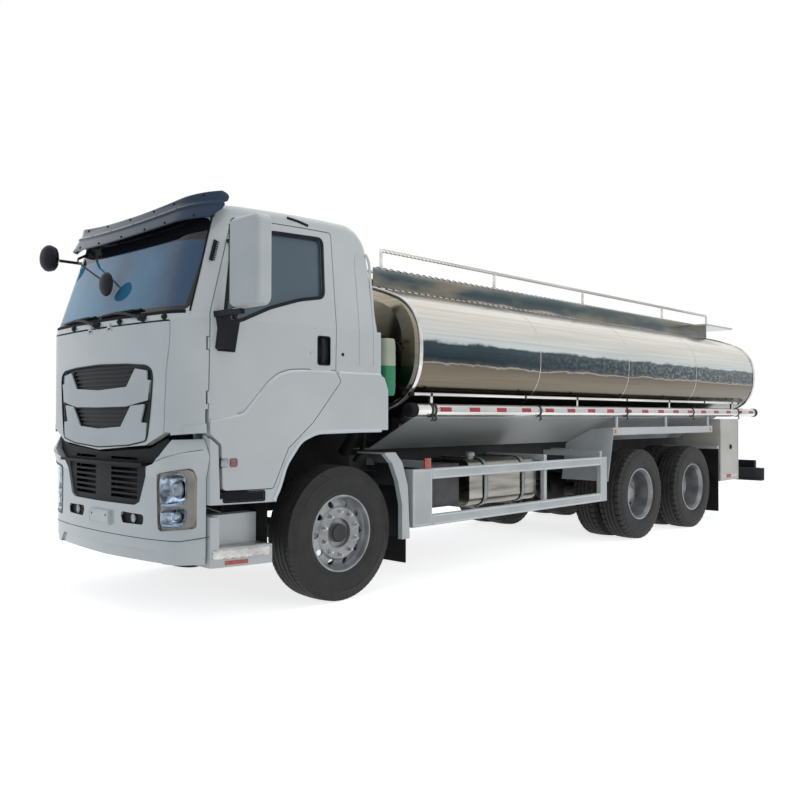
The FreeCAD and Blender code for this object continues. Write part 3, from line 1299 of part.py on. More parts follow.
def fuel_tank_shape():
    x0 = -float(size.FuelFrontX)
    corners = [Vector(x0, float(y), float(z)) for y, z in (
        (size.FuelInnerY, size.FuelLowZ), (size.FuelOuterY, size.FuelLowZ), (size.FuelOuterY, size.FuelTopZ),
        (size.FuelInnerY, size.FuelTopZ))]
    length = float(size.FuelLength)
    body = Part.Face(round_loop(corners, float(size.FuelRound))).extrude(Vector(-length, 0, 0))
    brackets = [block_shape(x0 - length * share - 35, x0 - length * share + 35, float(size.RailOuterY) + seat_gap,
                            float(size.FuelInnerY) + 60, 560, 1000) for share in (0.22, 0.78)]
    feet = [block_shape(x0 - length * share - 35, x0 - length * share + 35, float(size.RailOuterY) + seat_gap,
                        float(size.FuelOuterY) - 100, 560, 610) for share in (0.22, 0.78)]
    return main_solid(body.fuse(brackets + feet))


shaped(fuel_tank_shape(), "fuel_tank")
battery = box(-1520, -1000, size.RailOuterY + size.RunGap, 1050, 620, 1000)
silencer = box(-1900, -1050, -1100, -(size.RailOuterY + size.RunGap), 560, 1020)
reservoir_a = rod("x", -2650, 640, 130, y=-620, z=760)
reservoir_b = rod("x", -2650, 640, 130, y=-900, z=760)
reservoir_arm = box(-2400, -2330, -1000, -(size.RailOuterY + size.RunGap), 880, 940)
node(group(battery, silencer, fuse(reservoir_a, reservoir_b, reservoir_arm)), "chassis_boxes")


def rear_mudguard():
    """Outer bar, front sheet and the arm that carries the rear flap."""
    front, rear, top = -size.MudguardFrontX, -size.MudguardRearX, size.MudguardTopZ
    bar = box(rear, front + 20, size.HoseTubeY + 3, size.SideGuardY + 5, top - 85, top)
    sheet = pad("xz", [(front, top), (front + 8, top), (front + 138, 710), (front + 130, 710)], 620, 1225)
    above = [(600, top + 10), (600, 1120), (620, 1120), (930, top - 20), (1225, top), (1225, top + 10)]
    sheet = cut(sheet, pad("yz", above, front - 10, front + 200))
    hangers = [box(x - 20, x + 20, size.HoseTubeY + 3, size.HoseTubeY + 20, top, skirt_top_z)
               for x in (-4100, -5285, -6480)]
    stay = box(front - 30, front + 84, size.RailOuterY + size.RunGap, 700, 1000, 1060)
    return fuse(bar, sheet, stay, *hangers)


arm = box(-6745, -6705, size.RailOuterY + size.RunGap, 1230, 990, 1030)
node(group(pair(rear_mudguard()), pair(arm)), "rear_mudguards")
rear_flap = box(-6715, -6705, 625, 1240, 150, 990)
front_flap_rubber = box(-700.3, -690.3, 894, 1170, 210, 560)
arch_skin = side_prism(grown(ARCH, -0.3), 40, 905, 1200).cut(side_prism(grown(ARCH, -11), 40, 900, 1210))
arch_skin = main_solid(arch_skin.common(block_shape(-395, 720, 900, 1210, 900, 1400)))
liners = doc.addObject("Part::Feature", "Liners")
liners.Shape = Part.makeCompound([arch_skin, mirror_shape(arch_skin)])
node(group(pair(rear_flap), pair(front_flap_rubber), liners), "mud_flaps")


# Steps and front wings

def step_box_shape():
    plan = cab_plan(float(size.CabNose), float(size.CabHalf), float(size.CabBack), 395, 0)
    form = Part.Face(plan).extrude(Vector(0, 0, 345))
    body = form.common(block_shape(700, 1142, 895, 2000, 0, 2000))
    recess = block_shape(600, 1085, 1010, 2000, 528, 2000)
    return main_solid(body.cut(recess))


def front_wing():
    """Curved guard behind the front wheel with its side cheek."""
    sheet = pad("xz", [(-690, 420), (-678, 420), (-652, 850), (-590, 1040), (-515, 1125), (-400, 1125), (-400, 1137),
                       (-520, 1137), (-600, 1050), (-665, 855)], 895, 1180)
    cheek = pad("xz", [(-690, 420), (-600, 420), (-600, 700), (-550, 900), (-480, 1050), (-400, 1125), (-400, 1137),
                       (-520, 1137), (-600, 1050), (-665, 855)], 1178, 1225)
    return fuse(sheet, cheek)


left_step = step_box_shape()
steps = doc.addObject("Part::Feature", "Steps")
steps.Shape = Part.makeCompound([left_step, mirror_shape(left_step)])
node(group(steps, pair(front_wing())), "steps_and_wings")
node(fuse(box(-575, -430, 980, 1200, 1600, 2070), box(-430, -(size.CabBack + size.RunGap), 1040, 1140, 1780, 1980)),
     "coolant_tank")


# Rear end

def cabinet():
    x0, x1 = -(size.CabinetFrontX + size.CabinetLength), -size.CabinetFrontX
    y0, y1 = size.CabinetInnerY, size.CabinetOuterY - size.CabinetWall - size.RunGap
    z0, z1, wall = size.CabinetLowZ, size.CabinetTopZ, size.CabinetWall
    shell = cut(box(x0, x1, y0, y1, z0, z1), box(x0 + wall, x1 - wall, y0 + wall, y1 + 10, z0 + wall, z1 - wall))
    arms = [box(x - 30, x + 30, size.RailOuterY + size.RunGap, y0, 900, 980) for x in (-6950, -7230)]
    return fuse(shell, *arms)


node(cabinet(), "rear_cabinet")
cabinet_skin = box(-(size.CabinetFrontX + size.CabinetLength), -size.CabinetFrontX,
                   size.CabinetOuterY - size.CabinetWall, size.CabinetOuterY, size.CabinetLowZ, size.CabinetTopZ)
hinge_rods = [rod("z", z, 90, 8, x=-size.CabinetFrontX, y=size.CabinetOuterY) for z in (680, 1180)]
node(fuse(cabinet_skin, *hinge_rods), "cabinet_door")
underrun_front = -size.RearReach + size.UnderrunDepth
channel = [(-size.RearReach, size.UnderrunLowZ), (underrun_front, size.UnderrunLowZ),
           (underrun_front, size.UnderrunLowZ + 12), (-size.RearReach + 12, size.UnderrunLowZ + 12),
           (-size.RearReach + 12, size.UnderrunLowZ + size.UnderrunHeight - 12),
           (underrun_front, size.UnderrunLowZ + size.UnderrunHeight - 12),
           (underrun_front, size.UnderrunLowZ + size.UnderrunHeight),
           (-size.RearReach, size.UnderrunLowZ + size.UnderrunHeight)]
bar = pad("xz", channel, -size.UnderrunHalf, size.UnderrunHalf)
hanger = box(underrun_front - 90, -7800, rail_inner, size.RailOuterY, 500, rail_low - size.RunGap)
node(fuse(bar, hanger, mirrored(hanger)), "rear_underrun")
bar_top = size.UnderrunLowZ + size.UnderrunHeight
tail = box(-size.RearReach + 10, -size.RearReach + 70, 700, 1100, bar_top + size.RunGap, bar_top + 110)
node(pair(tail), "tail_lamps")

ladder_x = -8320
ladder_low = size.UnderrunLowZ + size.UnderrunHeight + size.RunGap
stiles = [rod("z", ladder_low, 2761.7 - ladder_low, size.LadderTube, x=ladder_x, y=side * size.LadderHalf)
          for side in (1, -1)]
rungs = [rod("y", -size.LadderHalf, 2 * size.LadderHalf, size.LadderTube * 0.7, x=ladder_x,
             z=ladder_low + 200 + size.RungPitch * i) for i in range(6)]
node(fuse(*stiles, *rungs), "rear_ladder")
pipe, low = size.OutletRadius + 10, size.OutletZ
drop = rod("z", low, 1344.7 - low, pipe, x=-7600)
outlet = rod("x", -8180, 580, pipe, z=low)
valve = ball(95, x=-7900, z=low)
flange = rod("x", -8200, 30, 90, z=low)
mouth = rod("x", -8201, size.OutletDepth + 1, size.OutletRadius, z=low)
node(cut(fuse(drop, outlet, valve, flange, ball(pipe, x=-7600, z=low)), mouth), "discharge_pipe")

doc.recompute()
for obj in doc.Objects:
    if "Invalid" in obj.State or "Error" in obj.State:
        raise RuntimeError(f"{obj.Label} failed: {obj.State}")
os.makedirs("parts", exist_ok=True)
for piece in nodes:
    shape = piece.Shape
    if shape.isNull() or not shape.isValid():
        raise RuntimeError(f"{piece.Label} has no valid shape")
    shape.exportStep(f"parts/{piece.Label}.step")
    print(piece.Label, len(shape.Solids), round(shape.Volume / 1e9, 4), shape.BoundBox)
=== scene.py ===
import math

import bmesh
import bpy
import numpy as np
from mathutils import Euler, Matrix, Vector


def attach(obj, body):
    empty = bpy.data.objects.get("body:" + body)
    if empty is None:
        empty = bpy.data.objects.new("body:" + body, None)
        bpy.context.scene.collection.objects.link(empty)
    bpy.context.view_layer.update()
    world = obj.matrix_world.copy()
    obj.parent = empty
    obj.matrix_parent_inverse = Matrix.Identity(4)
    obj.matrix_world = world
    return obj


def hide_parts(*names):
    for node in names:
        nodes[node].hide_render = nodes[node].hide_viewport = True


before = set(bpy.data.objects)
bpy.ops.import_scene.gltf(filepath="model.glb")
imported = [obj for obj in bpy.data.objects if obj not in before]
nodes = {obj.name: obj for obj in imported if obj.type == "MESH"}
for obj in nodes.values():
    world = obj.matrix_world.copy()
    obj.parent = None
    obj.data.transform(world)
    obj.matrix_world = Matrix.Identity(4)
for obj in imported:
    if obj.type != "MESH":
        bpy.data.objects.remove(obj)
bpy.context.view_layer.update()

# Camera, lamps and floor. The camera stands by the truck's front left corner at eye height, as the fit
# to the photograph gives. Lengths are metres, and every shape counts x from the front axle.
FRONT_AXLE = 3.480
SIDES = ((1, "left"), (-1, "right"))


def placed(name, data):
    """A new object of the scene that shows data."""
    made = bpy.data.objects.new(name, data)
    bpy.context.scene.collection.objects.link(made)
    return made


lens = bpy.data.cameras.new("Camera")
lens.sensor_width, lens.lens, lens.clip_end = 36.0, 37.72, 400.0
lens.shift_x, lens.shift_y = -0.0293, 0.0046
camera = placed("Camera", lens)
camera.location = (FRONT_AXLE + 4.339, 6.049, 1.441)
look = Euler((math.radians(90.785), 0.0, math.radians(132.895)), "XYZ").to_matrix()
camera.rotation_euler = (look @ Matrix.Rotation(math.radians(0.1), 3, "Z")).to_euler()
bpy.context.scene.camera = camera
bpy.context.scene.view_settings.view_transform = "Standard"


class Graph:
    """The node tree of a world or a material, emptied; most calls add one node and give its output."""

    def __init__(self, owner):
        owner.use_nodes = True
        self.tree = owner.node_tree
        self.tree.nodes.clear()

    def add(self, kind, inputs, output=0, **settings):
        """A node whose inputs are given as plain values or as the sockets that feed them."""
        made = self.tree.nodes.new("ShaderNode" + kind)
        for key, value in settings.items():
            setattr(made, key, value)
        for key, value in inputs.items():
            if isinstance(value, bpy.types.NodeSocket):
                self.tree.links.new(value, made.inputs[key])
            else:
                made.inputs[key].default_value = value
        return made.outputs[output] if made.outputs else None

    def math(self, operation, *values):
        """Values or sockets taken together, two at a time."""
        total = values[0]
        for value in values[1:]:
            total = self.add("Math", {0: total, 1: value}, operation=operation)
        return total

    def place(self, scale=(1, 1, 1), turn=(0, 0, 0)):
        """The piece's own coordinates, stretched and turned."""
        where = self.add("TexCoord", {}, "Object")
        return self.add("Mapping", {"Vector": where, "Scale": scale, "Rotation": turn})

    def axis(self, name):
        return self.add("SeparateXYZ", {0: self.add("TexCoord", {}, "Object")}, name)

    def off_centre(self):
        """The distance from the truck's middle plane."""
        return self.add("Math", {0: self.axis("Y")}, operation="ABSOLUTE")

    def noise(self, place, scale, detail=2.0, rough=0.5):
        return self.add("TexNoise", {"Vector": place, "Scale": scale, "Detail": detail,
                                     "Roughness": rough}, "Fac")

    def ranged(self, value, to=(0.0, 1.0), given=(0.0, 1.0)):
        """The value carried from one range to another and held at its ends."""
        return self.add("MapRange", {"Value": value, "From Min": given[0], "From Max": given[1],
                                     "To Min": to[0],
                                     "To Max": to[1]})

    def ramp(self, value, *stops):
        """A colour that follows the value through stops of (position, colour)."""
        made = self.tree.nodes.new("ShaderNodeValToRGB")
        elements = made.color_ramp.elements
        for end, (at, colour) in ((0, stops[0]), (1, stops[-1])):
            elements[end].position = at
            elements[end].color = (*colour, 1.0)
        for at, colour in stops[1:-1]:
            elements.new(at).color = (*colour, 1.0)
        self.tree.links.new(value, made.inputs["Fac"])
        return made.outputs["Color"]

    def mix(self, share, first, second):
        return self.add("Mix", {0: share, 6: first, 7: second}, 2, data_type="RGBA")

    def relief(self, height, strength, distance=0.002):
        return self.add("Bump", {"Height": height, "Strength": strength, "Distance": distance})

    def waves(self, turns, pitch, along):
        """One wave pattern to each turn of the piece's coordinates."""
        return [self.add("TexWave", {"Vector": self.place(turn=turn), "Scale": pitch}, "Fac",
                         bands_direction=along)
                for turn in turns]

    def surface(self, inputs):
        self.add("OutputMaterial", {0: self.add("BsdfPrincipled", inputs)})

    def plain_or_seen(self, plain, seen):
        """One shader for the light that a thing gives, another where a ray looks at it."""
        rays = [self.add("LightPath", {}, f"Is {kind} Ray") for kind in ("Camera", "Glossy", "Transmission")]
        return self.add("MixShader", {0: self.math("MAXIMUM", *rays), 1: plain, 2: seen})


def new_material(name):
    made = bpy.data.materials.new(name)
    return made, Graph(made)


studio = bpy.data.worlds.new("Studio")
bpy.context.scene.world = studio
graph = Graph(studio)
soft = graph.add("Background", {"Color": (0.86, 0.93, 1.0, 1.0), "Strength": 0.38})
white = graph.add("Background", {"Color": (1.0, 1.0, 1.0, 1.0), "Strength": 1.0})
graph.add("OutputWorld", {0: graph.plain_or_seen(soft, white)})


def lamp(name, place, aim, size, power, tint):
    """A square soft lamp at place, turned towards aim."""
    data = bpy.data.lights.new(name, "AREA")
    data.shape = "RECTANGLE"
    data.size, data.size_y = size
    data.energy = power
    data.color = tint
    made = placed(name, data)
    made.location = place
    made.rotation_euler = (Vector(aim) - Vector(place)).to_track_quat("-Z", "Y").to_euler()
    made.visible_camera = False
    made.visible_glossy = False


lamp("Overhead", (0.5, 2.0, 11.0), (0.0, 0.0, 1.0), (14.0, 8.0), 540.0, (1.0, 0.99, 0.97))
lamp("FromFront", (13.0, -3.0, 6.0), (4.0, 0.0, 1.5), (7.0, 5.0), 95.0, (0.60, 0.82, 1.0))
lamp("FromLeft", (2.0, 13.0, 5.0), (0.0, 0.0, 1.5), (12.0, 5.0), 290.0, (1.0, 0.985, 0.95))

FLOOR_REACH = 90.0
floor_mesh = bpy.data.meshes.new("Floor")
floor_mesh.from_pydata([(x * FLOOR_REACH, y * FLOOR_REACH, 0)
                        for x, y in ((-1, -1), (1, -1), (1, 1), (-1, 1))], [], [(0, 1, 2, 3)])
floor = placed("Floor", floor_mesh)
floor.location.z = -0.002
floor_paint, graph = new_material("FloorPaint")
matt = graph.add("BsdfDiffuse", {"Color": (0.80, 0.80, 0.80, 1.0)})
pale = graph.add("AddShader", {0: matt, 1: graph.add("Emission", {"Strength": 0.78})})
graph.add("OutputMaterial", {0: graph.plain_or_seen(matt, pale)})
floor_mesh.materials.append(floor_paint)

# Cab paint. Sprayed white enamel under clear lacquer on pressed steel, with the faint orange peel and
# tone drift that real panels show.


def surface_finish(name, dark, light, rough=(0.3, 0.4), metal=0.0, scale=3.0, grain=60.0, bump=0.05, coat=0.0,
                   stretch=(1, 1, 1), shine=0.5):
    """A coated or bare surface: two close tones, uneven gloss and a fine relief."""
    made, graph = new_material(name)
    place = graph.place(stretch)
    cloud = graph.noise(place, scale, 5.0)
    graph.surface({"Base Color": graph.ramp(cloud, (0.35, dark), (0.65, light)), "Metallic": metal,
                   "Roughness": graph.ranged(cloud, rough), "Coat Weight": coat, "Coat Roughness": 0.04,
                   "Specular IOR Level": shine, "Normal": graph.relief(graph.noise(place, grain, 3.0), bump)})
    return made


def dress(finish, *names):
    """Gives CAD nodes their finish."""
    for name in names:
        mesh = nodes[name].data
        if not mesh.materials:
            mesh.materials.append(finish)
        for i in range(len(mesh.materials)):
            mesh.materials[i] = finish
        for place in nodes[name].material_slots:
            place.material = finish


WHITE_TONES = (0.55, 0.585, 0.595), (0.64, 0.665, 0.67)
cab_white = surface_finish("CabWhite", *WHITE_TONES, (0.22, 0.30), scale=0.9,
                           grain=260.0, bump=0.03, coat=0.6)
dress(cab_white, "cab_shell", "door_left", "door_right", "front_bumper", "front_flap")

# Cab skin as a surface, for every trim piece that lies on it: a shallow front arc, a tight corner
# arc and a long side sweep in plan, upright to the belt line and leaning in above it.
BELT, ROOF = 2.100, 2.940
FRONT_ARC, SIDE_ARC, CORNER_WIDTH = 7.0, 3.4, 0.421
CORNER_TURN = math.radians(75.0)


def plan_arcs(z):
    """Nose, half width, front arc's end angle, corner radius, and both side arcs' centres at height z."""
    lean = np.clip((np.asarray(z, float) - BELT) / (ROOF - BELT), 0.0, 1.0)
    nose, half = 1.395 - 0.252 * lean, 1.241 - 0.097 * lean
    end = np.arcsin((half - CORNER_WIDTH) / FRONT_ARC)
    corner = (CORNER_WIDTH - SIDE_ARC * (1 - math.sin(CORNER_TURN))) / (math.sin(CORNER_TURN) - np.sin(end))
    corner_x = nose - FRONT_ARC + np.cos(end) * (FRONT_ARC - corner)
    corner_y = np.sin(end) * (FRONT_ARC - corner)
    sweep_x = corner_x + math.cos(CORNER_TURN) * (corner - SIDE_ARC)
    sweep_y = corner_y + math.sin(CORNER_TURN) * (corner - SIDE_ARC)
    return nose, half, end, corner, corner_x, corner_y, sweep_x, sweep_y


def arc(radius, across):
    """How far a circle of that radius stands out at the distance across from its middle."""
    return np.sqrt(np.maximum(radius ** 2 - across ** 2, 0))


def on_front(y, z, out=0.0):
    """Points of the cab's front skin at width y and height z, stood off by out."""
    y, z = np.broadcast_arrays(np.asarray(y, float), np.asarray(z, float))
    nose, half, end, corner, cx, cy, sx, sy = plan_arcs(z)
    side = np.abs(y)
    x = np.where(side < (FRONT_ARC + out) * np.sin(end), nose - FRONT_ARC + arc(FRONT_ARC + out, y),
                 np.where(side < cy + (corner + out) * math.sin(CORNER_TURN),
                          cx + arc(corner + out, side - cy),
                          sx + arc(SIDE_ARC + out, side - sy)))
    return np.stack([x, y, z], axis=-1)


def on_side(x, z, out=0.0, side=1):
    """Points of the cab's side skin at length x and height z, stood off by out."""
    x, z = np.broadcast_arrays(np.asarray(x, float), np.asarray(z, float))
    nose, half, end, corner, cx, cy, sx, sy = plan_arcs(z)
    y = np.where(x < sx, half + out,
                 np.where(x < cx + (corner + out) * math.cos(CORNER_TURN), sy + arc(SIDE_ARC + out, x - sx),
                          cy + arc(corner + out, x - cx)))
    return np.stack([x, y * side, z], axis=-1)


def side_skin(side):
    """The side skin of one side, as a function of length, height and stand-off."""
    return lambda x, z, out=0.0: on_side(x, z, out, side)


def normal_of(place, *at):
    """Outward direction of a skin function at the given points."""
    step = place(*at, 0.01) - place(*at, 0.0)
    return step / np.linalg.norm(step, axis=-1, keepdims=True)


def in_plane(axis, at, line):
    """Points of a flat line, with the same third coordinate put in at axis."""
    return np.insert(np.asarray(line, float), axis, at, axis=-1)


def grid(*spans):
    """Grids of coordinates; each span gives a start, a stop and a count."""
    return np.meshgrid(*[np.linspace(*span) for span in spans], indexing="ij")


def lattice(points, loop_u=False, loop_v=False, ends=False):
    """Corner points and quads of a grid of points; ends fills the first and last rows."""
    rows, columns = points.shape[:2]
    number = np.arange(rows * columns).reshape(rows, columns)
    if loop_u:
        number = np.vstack([number, number[:1]])
    if loop_v:
        number = np.hstack([number, number[:, :1]])
    faces = np.stack([number[:-1, :-1], number[1:, :-1], number[1:, 1:], number[:-1, 1:]], axis=-1)
    faces = faces.reshape(-1, 4).tolist()
    if ends:
        faces.append(np.arange(columns)[::-1].tolist())
        faces.append(((rows - 1) * columns + np.arange(columns)).tolist())
    return points.reshape(-1, 3), faces


def flat_sheet(axis, at, first, second):
    """A flat grid square to axis; first and second give the start, stop and count of its directions."""
    return lattice(in_plane(axis, at, np.stack(grid(first, second), axis=-1)))


def made_piece(name, grids, finish, body="chassis", sharp=32.0, wall=0.0):
    """One object out of several grids, smooth but for its sharp edges, facing outwards."""
    corners, faces, count = [], [], 0
    for points, quads in grids:
        corners.append(points)
        faces += [[index + count for index in quad] for quad in quads]
        count += len(points)
    mesh = bpy.data.meshes.new(name)
    mesh.from_pydata((np.concatenate(corners) + [FRONT_AXLE, 0, 0]).tolist(), [], faces)
    shape = bmesh.new()
    shape.from_mesh(mesh)
    bmesh.ops.remove_doubles(shape, verts=shape.verts, dist=0.00002)
    bmesh.ops.recalc_face_normals(shape, faces=shape.faces)
    shape.to_mesh(mesh)
    shape.free()
    mesh.polygons.foreach_set("use_smooth", np.ones(len(mesh.polygons), bool))
    mesh.set_sharp_from_angle(angle=math.radians(sharp))
    mesh.materials.append(finish)
    made = placed(name, mesh)
    if wall:
        thick = made.modifiers.new("Wall", "SOLIDIFY")
        thick.thickness = wall
        thick.offset = 0.0
    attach(made, body)
    return made


def rounded_outline(width, height, radius, steps=4):
    """A rectangle's outline with quarter-circle corners, as (across, up) pairs in order."""
    radius = min(radius, width / 2, height / 2)
    arcs = []
    for quarter, (sx, sy) in enumerate(((1, 1), (-1, 1), (-1, -1), (1, -1))):
        angle = np.linspace(0, math.pi / 2, steps) + quarter * math.pi / 2
        middle = np.array([sx * (width / 2 - radius), sy * (height / 2 - radius)])
        arcs.append(middle + radius * np.stack([np.cos(angle), np.sin(angle)], axis=-1))
    return np.concatenate(arcs)


def carried(path, up, bar, loop=False):
    """A rounded bar along a path. Its width is square to the path and to up; see rounded_outline."""
    path, outline = np.asarray(path, float), rounded_outline(*bar)
    up = np.broadcast_to(np.asarray(up, float), path.shape)
    if loop:
        ahead = np.roll(path, -1, axis=0) - np.roll(path, 1, axis=0)
    else:
        ahead = np.gradient(path, axis=0)
    ahead = ahead / np.linalg.norm(ahead, axis=1, keepdims=True)
    across = np.cross(ahead, up)
    across /= np.linalg.norm(across, axis=1, keepdims=True)
    lift = np.cross(across, ahead)
    points = (path[:, None, :] + across[:, None, :] * outline[None, :, 0:1]
              + lift[:, None, :] * outline[None, :, 1:2])
    return lattice(points, loop_u=loop, loop_v=True, ends=not loop)


def turned(profile, centre, axis="y", steps=48, way=1):
    """A profile of (radius, distance along the axis) turned about an axis through centre."""
    profile = np.asarray(profile, float) * [1, way]
    angle = np.linspace(0, 2 * math.pi, steps, endpoint=False)[:, None]
    along = np.broadcast_to(profile[None, :, 1], (steps, len(profile)))
    first, second = profile[None, :, 0] * np.cos(angle), profile[None, :, 0] * np.sin(angle)
    order = {"x": (along, first, second), "y": (first, along, second), "z": (first, second, along)}[axis]
    return lattice(np.stack(order, axis=-1) + np.asarray(centre, float), loop_u=True)


def smooth_path(corners, steps=12, loop=False):
    """Points on straight runs between corners, a few to each run, so that a carried bar bends there."""
    corners = np.asarray(corners, float)
    if loop:
        corners = np.vstack([corners, corners[:1]])
    share = np.linspace(0, 1, steps, endpoint=False)[:, None]
    runs = [a + (b - a) * share for a, b in zip(corners[:-1], corners[1:])]
    if not loop:
        runs.append(corners[-1:])
    return np.concatenate(runs)


def eased(corners, radius, steps=6, loop=False):
    """The corners' polyline with each corner replaced by a short curve of about that radius."""
    corners = [np.asarray(c, float) for c in corners]
    count = len(corners)
    t = np.linspace(0, 1, steps)[:, None]
    points = []
    for i, corner in enumerate(corners):
        if not loop and i in (0, count - 1):
            points.append(corner[None, :])
            continue
        before, after = corners[i - 1] - corner, corners[(i + 1) % count] - corner
        a, b = [corner + leg / np.linalg.norm(leg) * min(radius, np.linalg.norm(leg) * 0.45)
                for leg in (before, after)]
        points.append(a * (1 - t) ** 2 + corner * 2 * t * (1 - t) + b * t ** 2)
    return np.concatenate(points)


def strip_on(place, corners, bar, out=0.0, loop=False, steps=8):
    """A bar along a broken line drawn on a skin."""
    line = smooth_path(corners, steps, loop).T
    return carried(place(*line, out), normal_of(place, *line), bar, loop)


def ribbon(place, line, *edges):
    """A strip through copies of a line on a skin; each has a shift along, a shift up and a stand-off."""
    return lattice(np.stack([place(*(line + [along, up]).T, out) for along, up, out in edges]))


def rings_on(place, loop, levels, ends=False):
    """A form through copies of a loop on a skin; each level has a share of its size and a stand-off."""
    middle = loop.mean(axis=0)
    rows = [place(*(middle + (loop - middle) * share).T, out) for share, out in levels]
    return lattice(np.stack(rows), loop_v=True, ends=ends)


def rod(start, end, up, bar, steps=4):
    """A straight bar between two points."""
    return carried(smooth_path([start, end], steps), up, bar)


# Tyres. Moulded rubber: ribbed tread with fine cross cuts on the steered wheels, lugged shoulders on
# the driven twins, a raised guard ring on each sidewall. They replace the plain turned solids.
TYRE_RADIUS = AXLE_Z = 0.525
rubber = surface_finish("TyreRubber", (0.014, 0.014, 0.015), (0.034, 0.033, 0.032), (0.62, 0.85), scale=7.0,
                        grain=180.0, bump=0.25)
HALF_TREAD = (0.0185, 0.0205, 0.0275, 0.0295, 0.0675, 0.0695, 0.0775, 0.0795, 0.118)
GROOVE_FLOORS = (0.0775, 0.0695, 0.0275, 0.0205)
SIDEWALL = np.array([(0.519, 0.1205), (0.507, 0.1235), (0.492, 0.128), (0.468, 0.1375), (0.450, 0.1425),
                     (0.447, 0.1455), (0.438, 0.1455), (0.435, 0.1435), (0.405, 0.1475), (0.372, 0.1475),
                     (0.345, 0.1435), (0.342, 0.1455), (0.334, 0.1450), (0.331, 0.1405), (0.312, 0.1330),
                     (0.302, 0.1270), (0.299, 0.1170), (0.2865, 0.114)])


def tyre_form(centre, lugged):
    """Radius and width over the angle round the axle and the distance round the section.

    The section is a closed line of (radius, width) pairs; grooves lower the radius on the tread only,
    in rings, and between the shoulder blocks where the angle falls in a block's gap.
    """
    half = np.array(HALF_TREAD)
    ribs = np.concatenate([-half[::-1], half])
    crown = TYRE_RADIUS - 0.006 * (ribs / HALF_TREAD[-1]) ** 2
    tread = np.stack([crown - 0.013 * np.isin(np.round(np.abs(ribs), 4), GROOVE_FLOORS), ribs], axis=-1)
    section = np.concatenate([tread, SIDEWALL, SIDEWALL[::-1] * [1, -1]])
    blocks, shares, gaps, edge, deep = 80, (0.0, 0.10, 0.5, 0.9), (1.0, 0.0, 0.0, 0.0), 0.078, 0.004
    if lugged:
        blocks, shares, gaps, edge, deep = 44, (0.0, 0.08, 0.16, 0.90), (1.0, 1.0, 0.0, 0.0), 0.0685, 0.014
    angle = ((np.arange(blocks)[:, None] + np.array(shares)) * 2 * math.pi / blocks).ravel()[:, None]
    depth = deep * ((section[:, 0] > 0.49) & (np.abs(section[:, 1]) > edge))
    radius = section[None, :, 0] - np.tile(gaps, blocks)[:, None] * depth
    width = np.broadcast_to(section[None, :, 1], radius.shape)
    points = np.stack([radius * np.cos(angle), width, radius * np.sin(angle)], axis=-1)
    return lattice(points + np.asarray(centre), loop_u=True, loop_v=True)


FRONT_TYRE_Y, OUTER_Y, INNER_Y = 1.034, 1.092, 0.756
AXLE_ROWS = ((-4.600, "middle"), (-5.970, "rear"))
for side, word in SIDES:
    tyre = made_piece(f"front_tyre_{word}", [tyre_form((0, FRONT_TYRE_Y * side, AXLE_Z), False)], rubber,
                      f"wheel_front_{word}", sharp=40)
    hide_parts(f"tyre_front_{word}")
    for axle, row in AXLE_ROWS:
        twin = [tyre_form((axle, y * side, AXLE_Z), True) for y in (OUTER_Y, INNER_Y)]
        tyres = made_piece(f"{row}_tyres_{word}", twin, rubber, f"wheels_{row}_{word}", sharp=40)
        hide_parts(f"tyres_{row}_{word}")

# Rims and hubs. Pressed steel discs sprayed silver, ten nuts with their stud ends on a 335 mm circle,
# and a turned hub with a dust cap in front.
rim_silver = surface_finish("RimSilver", (0.22, 0.23, 0.24), (0.40, 0.41, 0.42),
                            (0.30, 0.48), 0.45, 6.0, 140.0, 0.06)
nut_steel = surface_finish("NutSteel", (0.34, 0.34, 0.33), (0.60, 0.60, 0.58),
                           (0.25, 0.45), 0.9, 30.0, 200.0, 0.05)
hub_dark = surface_finish("HubDark", (0.018, 0.018, 0.020), (0.050, 0.050, 0.050),
                          (0.4, 0.6), 0.3, 12.0, 120.0, 0.12)
for _, word in SIDES:
    dress(rim_silver, f"rim_front_{word}", f"rims_middle_{word}", f"rims_rear_{word}")
NUT_COUNT, NUT_CIRCLE = 10, 0.1675


def nut_ring(centre, side, seat_y):
    """Six-sided nuts with round washers and stud ends, evenly round the axle."""
    washer = [(0.0, 0.0), (0.021, 0.0), (0.021, 0.004), (0.0, 0.004)]
    nut = [(0.0, 0.004), (0.0165, 0.004), (0.0165, 0.019), (0.0145, 0.022), (0.0, 0.022)]
    stud = [(0.0, 0.020), (0.009, 0.020), (0.009, 0.034), (0.0075, 0.036), (0.0, 0.036)]
    grids = []
    for turn in 2 * math.pi * (np.arange(NUT_COUNT) + 0.5) / NUT_COUNT:
        middle = np.array(centre) + [NUT_CIRCLE * math.cos(turn), seat_y * side, NUT_CIRCLE * math.sin(turn)]
        grids += [turned(profile, middle, steps=steps, way=side)
                  for profile, steps in ((washer, 14), (nut, 6), (stud, 10))]
    return grids


for side, word in SIDES:
    middle = (0, FRONT_TYRE_Y * side, AXLE_Z)
    made_piece(f"front_nuts_{word}", nut_ring(middle, side, 0.1005), nut_steel,
               f"wheel_front_{word}")
    ring = [(0.0, 0.100), (0.052, 0.100), (0.060, 0.104), (0.066, 0.104), (0.071, 0.098), (0.071, 0.090),
            (0.0, 0.090)]
    made_piece(f"front_cap_{word}", [turned(ring, middle, steps=40, way=side)], hub_dark,
               f"wheel_front_{word}")
    for axle, row in AXLE_ROWS:
        made_piece(f"{row}_nuts_{word}", nut_ring((axle, 0.0, AXLE_Z), side, 0.941), nut_steel,
                   f"wheels_{row}_{word}")
